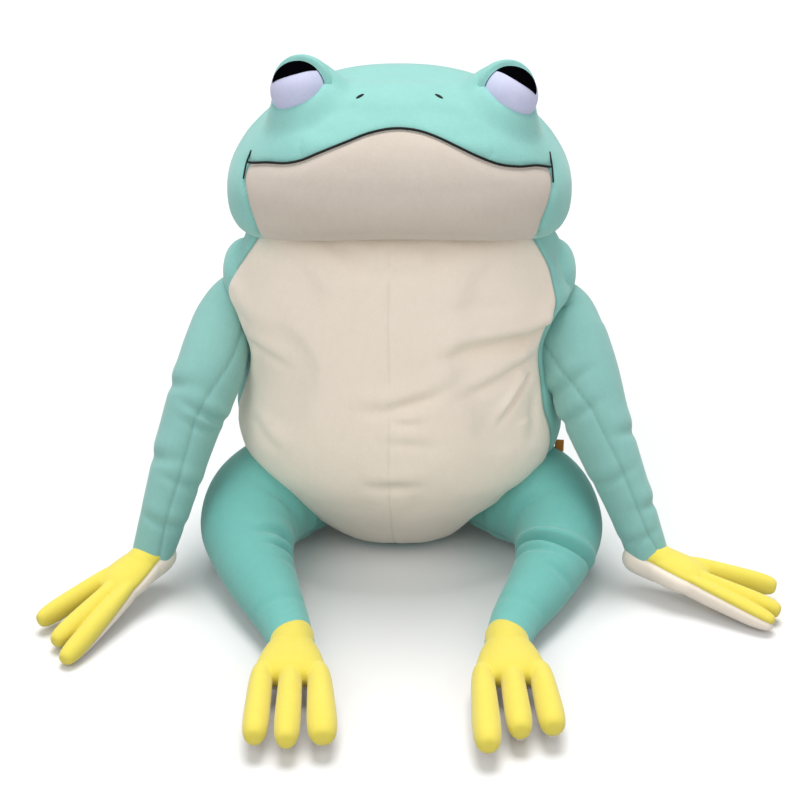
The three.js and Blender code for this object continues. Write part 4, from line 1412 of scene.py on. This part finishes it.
# Each digit: how far along the paw it starts and ends, how far towards the near side it does so,
# and the half width of its tip
DIGITS = {
    "hand_right": [
        (0.036, 0.158, 0.013, 0.034, 0.0112),
        (0.036, 0.144, 0.000, 0.007, 0.0105),
        (0.030, 0.130, -0.013, -0.029, 0.0092),
    ],
    "hand_left": [
        (0.036, 0.144, 0.012, 0.014, 0.0115),
        (0.036, 0.141, 0.002, -0.009, 0.0100),
        (0.030, 0.122, -0.013, -0.045, 0.0095),
    ],
    "foot_right": [
        (0.045, 0.155, 0.0265, 0.0330, 0.0150),
        (0.045, 0.160, 0.0010, 0.0010, 0.0125),
        (0.045, 0.155, -0.0255, -0.0275, 0.0125),
    ],
    "foot_left": [
        (0.045, 0.166, 0.0265, 0.0285, 0.0140),
        (0.045, 0.146, 0.0000, -0.0015, 0.0128),
        (0.045, 0.142, -0.0265, -0.0310, 0.0135),
    ],
}
# The plane of the seam in each kind of paw: how much its near side and its wrist end are raised
SEAM_ROLL = {"hand_right": 0.22, "hand_left": 0.42, "foot_right": 0.0, "foot_left": 0.0}
SEAM_PITCH = {"hand_right": 0.14, "hand_left": 0.05, "foot_right": 0.03, "foot_left": 0.03}
SEAM_RISE = {"hand_right": 0.005, "hand_left": 0.002, "foot_right": -0.004, "foot_left": -0.004}
ROOTS = {"hand": np.array([0.242, -0.147, 0.036]), "foot": np.array([0.100, -0.280, 0.0245])}
# How far each paw is turned out, in degrees, and how high its tips are
TURNS = {"hand_left": 60.0, "hand_right": 39.0, "foot_left": 2.0, "foot_right": 0.0}
TIP_HEIGHT = {"hand": 0.0130, "foot": 0.0235}
# How far back the wrist and the pad start from the root, and how far along the wrist ends
WRIST_BACK = 0.022
WRIST_ALONG = 0.034
PAD_BACK = 0.002
# Heights as shares: the wrist's of its width, and a digit's two ends' of the pad's
WRIST_FLAT_SHARE = 0.9
DIGIT_ROOT_SHARE = 0.85
DIGIT_TIP_SHARE = 0.80
# How full the pouches are, where 2 is an ellipsoid
WRIST_FULLNESS = 3.2
PAD_FULLNESS = 3.0
DIGIT_FULLNESS = 4.0
# The pouches are melted in cubes of this size and smoothed so many times
PAW_VOXEL = 0.0012
PAW_SMOOTHING = 4
# The depth and width of a paw's seam, how near it shade is painted on the cloth, over what height the paw
# gives way on the floor, and the angle from which its edges show sharp
PAW_SEAM = (0.0016, 0.0018)
PAW_SEAM_SHADE_NEAR = 0.0012
PAW_GIVE = 0.003
SHARP_PAW = math.radians(65)
# How far before and after its joint a paw would bend; these change nothing
PAW_BEND = 0.016
# The pieces of each kind of paw and the CAD nodes that they stand for, the upper one first
PAW_PIECES = {"hand": ("hand_back", "hand_palm"), "foot": ("foot_back", "foot_underside")}
PAW_NODES = {"hand": ("hand_top", "hand_palm"), "foot": ("foot_top", "foot_sole")}


def pouch(name, start, end, start_half, end_half, fullness):
    """A stuffed pouch between two points: a full ellipsoid along the run, whose half width and half
    height go evenly from one end to the other."""
    ball = ball_grid(rows=26, columns=32)
    girth = np.linalg.norm(ball[..., :2], axis=-1, keepdims=True)
    share = (fuller(ball[..., 2:], fullness) + 1) / 2
    half = np.array(start_half) + (np.array(end_half) - start_half) * share
    spread = ball[..., :2] * fuller(girth, fullness) / girth * half
    run = end - start
    across = unit(np.cross(run, UP))
    over = unit(np.cross(across, run))
    places = start + run * share + spread @ np.stack([across, over])
    return closed(cloth_mesh(name, places, wrap=True))


def melted(piece):
    """Melts overlapping pouches into one skin of even squares, and smooths it."""
    melt = piece.modifiers.new("melt", "REMESH")
    melt.mode = "VOXEL"
    melt.voxel_size = PAW_VOXEL
    soft = piece.modifiers.new("soft", "SMOOTH")
    soft.factor = 0.5
    soft.iterations = PAW_SMOOTHING
    graph = bpy.context.evaluated_depsgraph_get()
    made = bpy.data.meshes.new_from_object(piece.evaluated_get(graph))
    piece.modifiers.clear()
    piece.data = made
    return piece


def paw_form(name, root, ahead, near, size, digits):
    """The whole mitten: a wrist, a pad and three digits, melted together. near is the side of the
    paw that the digits' sideways distances count towards."""
    wrist = (size["wrist"], size["wrist"])
    wrist_end = (size["wrist"], size["wrist"] * WRIST_FLAT_SHARE)
    pad_end = (size["pad_half"], size["thick"])
    wrist_run = (root - ahead * WRIST_BACK, root + ahead * WRIST_ALONG)
    pad_run = (root - ahead * PAD_BACK, root + ahead * size["pad"])
    parts = [
        pouch("wrist", *wrist_run, wrist, wrist_end, WRIST_FULLNESS),
        pouch("pad", *pad_run, wrist_end, pad_end, PAD_FULLNESS),
    ]
    for start_along, end_along, start_aside, end_aside, tip in digits:
        run = (root + ahead * start_along + near * start_aside, root + ahead * end_along + near * end_aside)
        start_half = (size["root"], size["thick"] * DIGIT_ROOT_SHARE)
        end_half = (tip, size["thick"] * DIGIT_TIP_SHARE)
        parts.append(pouch("digit", *run, start_half, end_half, DIGIT_FULLNESS))
    return melted(joined(name, parts))


def half_of(form, name, place, normal, keep_above, finish):
    """One half of a form, cut along a plane and closed, as its own piece."""
    piece = in_scene(name, form.data.copy())
    with reworked(piece.data) as work:
        cut = bmesh.ops.bisect_plane(
            work, geom=work.verts[:] + work.edges[:] + work.faces[:], plane_co=place, plane_no=normal,
            clear_inner=keep_above, clear_outer=not keep_above,
        )
        rim = [edge for edge in cut["geom_cut"] if isinstance(edge, bmesh.types.BMEdge)]
        bmesh.ops.holes_fill(work, edges=rim, sides=0)
        bmesh.ops.recalc_face_normals(work, faces=work.faces)
    gap = (coordinates(piece.data) - place) @ normal
    # How much shade is painted along the seam round the paw.
    mark_seam_shade(piece.data, bell(gap, PAW_SEAM_SHADE_NEAR))
    shaded_smooth(piece.data)
    piece.data.set_sharp_from_angle(angle=SHARP_PAW)
    piece.data.materials.append(finish)
    return piece


def sewn_paw(kind, side, joint, size):
    """A hand or foot: the form, drawn in along its seam, pressed on the floor, and cut in two."""
    out = SIDES[side]
    paw = f"{kind}_{side}"
    root = ROOTS[kind] * np.array([out, 1, 1])
    turn = math.radians(TURNS[paw])
    reach = size["pad"] * 2
    drop = TIP_HEIGHT[kind] - root[2]
    ahead = unit(np.array([out * math.sin(turn) * reach, -math.cos(turn) * reach, drop]))
    near = out * unit(np.cross(ahead, UP))
    over = np.cross(near, ahead)
    over *= np.sign(over @ UP)
    form = paw_form(f"{paw}_form", root, ahead, near, size, DIGITS[paw])
    seam_way = unit(over - near * SEAM_ROLL[paw] + ahead * SEAM_PITCH[paw])
    place = root + over * SEAM_RISE[paw]
    points = coordinates(form.data)
    normals = np.zeros(points.size, np.float32)
    form.data.vertices.foreach_get("normal", normals)
    normals = normals.reshape(-1, 3)
    flat_normals = normals - (normals @ seam_way)[:, None] * seam_way
    points = points + flat_normals * seam_dip((points - place) @ seam_way, *PAW_SEAM)[:, None]
    points = resting(points, PAW_GIVE)
    form.data.vertices.foreach_set("co", points.astype(np.float32).ravel())
    form.data.update()
    top_name, sole_name = PAW_PIECES[kind]
    halves = [
        half_of(form, f"{top_name}_cloth_{side}", place, seam_way, True, yellow),
        half_of(form, f"{sole_name}_cloth_{side}", place, seam_way, False, cream),
    ]
    bpy.data.objects.remove(form)
    for piece, node, slot in zip(halves, PAW_NODES[kind], ("yellow_plush", "cream_plush")):
        centre, parent, child = hinge(joint)
        lead = Vector(ahead) * PAW_BEND
        centre - lead
        centre + lead
        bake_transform(piece)
        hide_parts(f"{node}_{side}")


for side in SIDES:
    sewn_paw("hand", side, f"wrist_fold_{side}", HAND)
    sewn_paw("foot", side, f"ankle_fold_{side}", FOOT)


# SIDE LABEL
# A folded tab of woven orange tape is caught in the left side seam just above the leg. It is bare.

LABEL_LONG = 0.013
LABEL_OUT = 0.009
LABEL_THICK = 0.0009
SHARP_TAPE = math.radians(60)
LABEL_PLACE = np.array([0.1565, -0.045, 0.106])


# How fine and deep the tape's weave is, and how dark the shade painted between its threads is
WEAVE_SCALE = 420.0
WEAVE_DEEP = 0.0003
WEAVE_SHADE_SHARE = 0.75


def woven_tape(name, red, green, blue):
    """Woven tape: a fine plain weave whose threads cross in squares, with painted shade between the threads.
    """
    finish = Finish(name)
    values = {"Vector": finish.place(), "Scale": WEAVE_SCALE}
    across = finish.node("ShaderNodeTexWave", {"bands_direction": "Y"}, values)
    along = finish.node("ShaderNodeTexWave", {"bands_direction": "Z"}, values)
    weave = across * 0.5 + along * 0.5
    tape = linear(red, green, blue)
    # Between the threads the tape is painted darker: painted shade.
    return finish.surface({
        "Base Color": finish.mix(weave, tuple(WEAVE_SHADE_SHARE * part for part in tape), tape),
        "Roughness": 0.75,
        "Normal": finish.bump(0.4, WEAVE_DEEP, weave),
    })


# The tape goes out, round the fold and back: a loop that is thickest at the seam
around = once_round(40)
loop_out = LABEL_OUT * (1 - np.cos(around)) / 2
loop_thick = LABEL_THICK * (1 + np.cos(around) / 2) * np.sin(around)
up_the_label = np.linspace(-LABEL_LONG / 2, LABEL_LONG / 2, 16)[:, None]
places = LABEL_PLACE + np.stack(np.broadcast_arrays(loop_out, loop_thick, up_the_label), axis=-1)
label = closed(cloth_mesh("side_tape", places, wrap=True))
label.data.set_sharp_from_angle(angle=SHARP_TAPE)
label.data.materials.append(woven_tape("orange_tape", 232, 140, 66))
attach(label, "torso")
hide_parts("side_label")


# CAMERA, LIGHT AND FLOOR
# The photograph looks down at the frog from the front with a long lens. Soft light from above
# leaves a wide grey shadow on a white floor.

CAMERA_TARGET = Vector((0.0, -0.040, 0.155))
CAMERA_RISE = math.radians(27)
CAMERA_AWAY = 2.3
camera_data = bpy.data.cameras.new("camera")
camera_data.lens = 103.5
camera_data.sensor_width = 36
camera_data.clip_end = 50
camera = in_scene("camera", camera_data)
back_way = Vector((0.0, -math.cos(CAMERA_RISE), math.sin(CAMERA_RISE)))
camera.location = CAMERA_TARGET + back_way * CAMERA_AWAY
camera.rotation_mode = "QUATERNION"
camera.rotation_quaternion = (-back_way).to_track_quat("-Z", "Y")
bpy.context.scene.camera = camera


def wide_sun(name, turn, rise, angle, power):
    """Even light from one way round the frog, 0 for the front, and from a rise above the floor, in
    degrees. The angle is how wide the light is, for the softness of its shadow."""
    lamp = bpy.data.lights.new(name, "SUN")
    lamp.energy = power
    lamp.angle = math.radians(angle)
    made = in_scene(name, lamp)
    turn, rise = math.radians(turn), math.radians(rise)
    way = Vector((math.sin(turn) * math.cos(rise), -math.cos(turn) * math.cos(rise), math.sin(rise)))
    made.rotation_mode = "QUATERNION"
    made.rotation_quaternion = (-way).to_track_quat("-Z", "Y")


wide_sun("overhead", turn=180, rise=73, angle=34, power=2.30)
wide_sun("front_left", turn=42, rise=36, angle=50, power=0.64)
wide_sun("front_right", turn=-38, rise=40, angle=50, power=0.92)

# The world lights the frog softly, and shows white behind it
WORLD_LIGHT = 0.34
world = bpy.data.worlds.new("studio")
bpy.context.scene.world = world
world.use_nodes = True
light = world.node_tree.nodes["Background"]
light.inputs["Color"].default_value = (1, 1, 1, 1)
light.inputs["Strength"].default_value = WORLD_LIGHT
shown = world.node_tree.nodes.new("ShaderNodeBackground")
shown.inputs["Color"].default_value = (1, 1, 1, 1)
shown.inputs["Strength"].default_value = 1.0
path = world.node_tree.nodes.new("ShaderNodeLightPath")
mixed = world.node_tree.nodes.new("ShaderNodeMixShader")
world.node_tree.links.new(path.outputs["Is Camera Ray"], mixed.inputs[0])
world.node_tree.links.new(light.outputs[0], mixed.inputs[1])
world.node_tree.links.new(shown.outputs[0], mixed.inputs[2])
world.node_tree.links.new(mixed.outputs[0], world.node_tree.nodes["World Output"].inputs[0])

# The floor shows pale to the camera, and darker to the light that it throws back on the frog
FLOOR_SHOWN = 0.84
FLOOR_THROWN = 0.50
FLOOR_REACH = 8
FLOOR_CORNERS = [(-1, -1), (1, -1), (1, 1), (-1, 1)]
floor_finish = Finish("white_floor")
ray = floor_finish.node("ShaderNodeLightPath", output=0)
bare = floor_finish.node("ShaderNodeBsdfDiffuse", None, {"Color": (*3 * [FLOOR_THROWN], 1.0)})
seen = floor_finish.node("ShaderNodeBsdfDiffuse", None, {"Color": (*3 * [FLOOR_SHOWN], 1.0)})
floor_mix = floor_finish.node("ShaderNodeMixShader", None, {0: ray, 1: bare, 2: seen})
floor_finish.node("ShaderNodeOutputMaterial", None, {"Surface": floor_mix})
floor_mesh = bpy.data.meshes.new("floor")
corners = [(across * FLOOR_REACH, along * FLOOR_REACH, 0) for across, along in FLOOR_CORNERS]
floor_mesh.from_pydata(corners, [], [(0, 1, 2, 3)])
floor = in_scene("floor", floor_mesh)
floor_mesh.materials.append(floor_finish.material)

bpy.context.scene.view_settings.view_transform = "Standard"
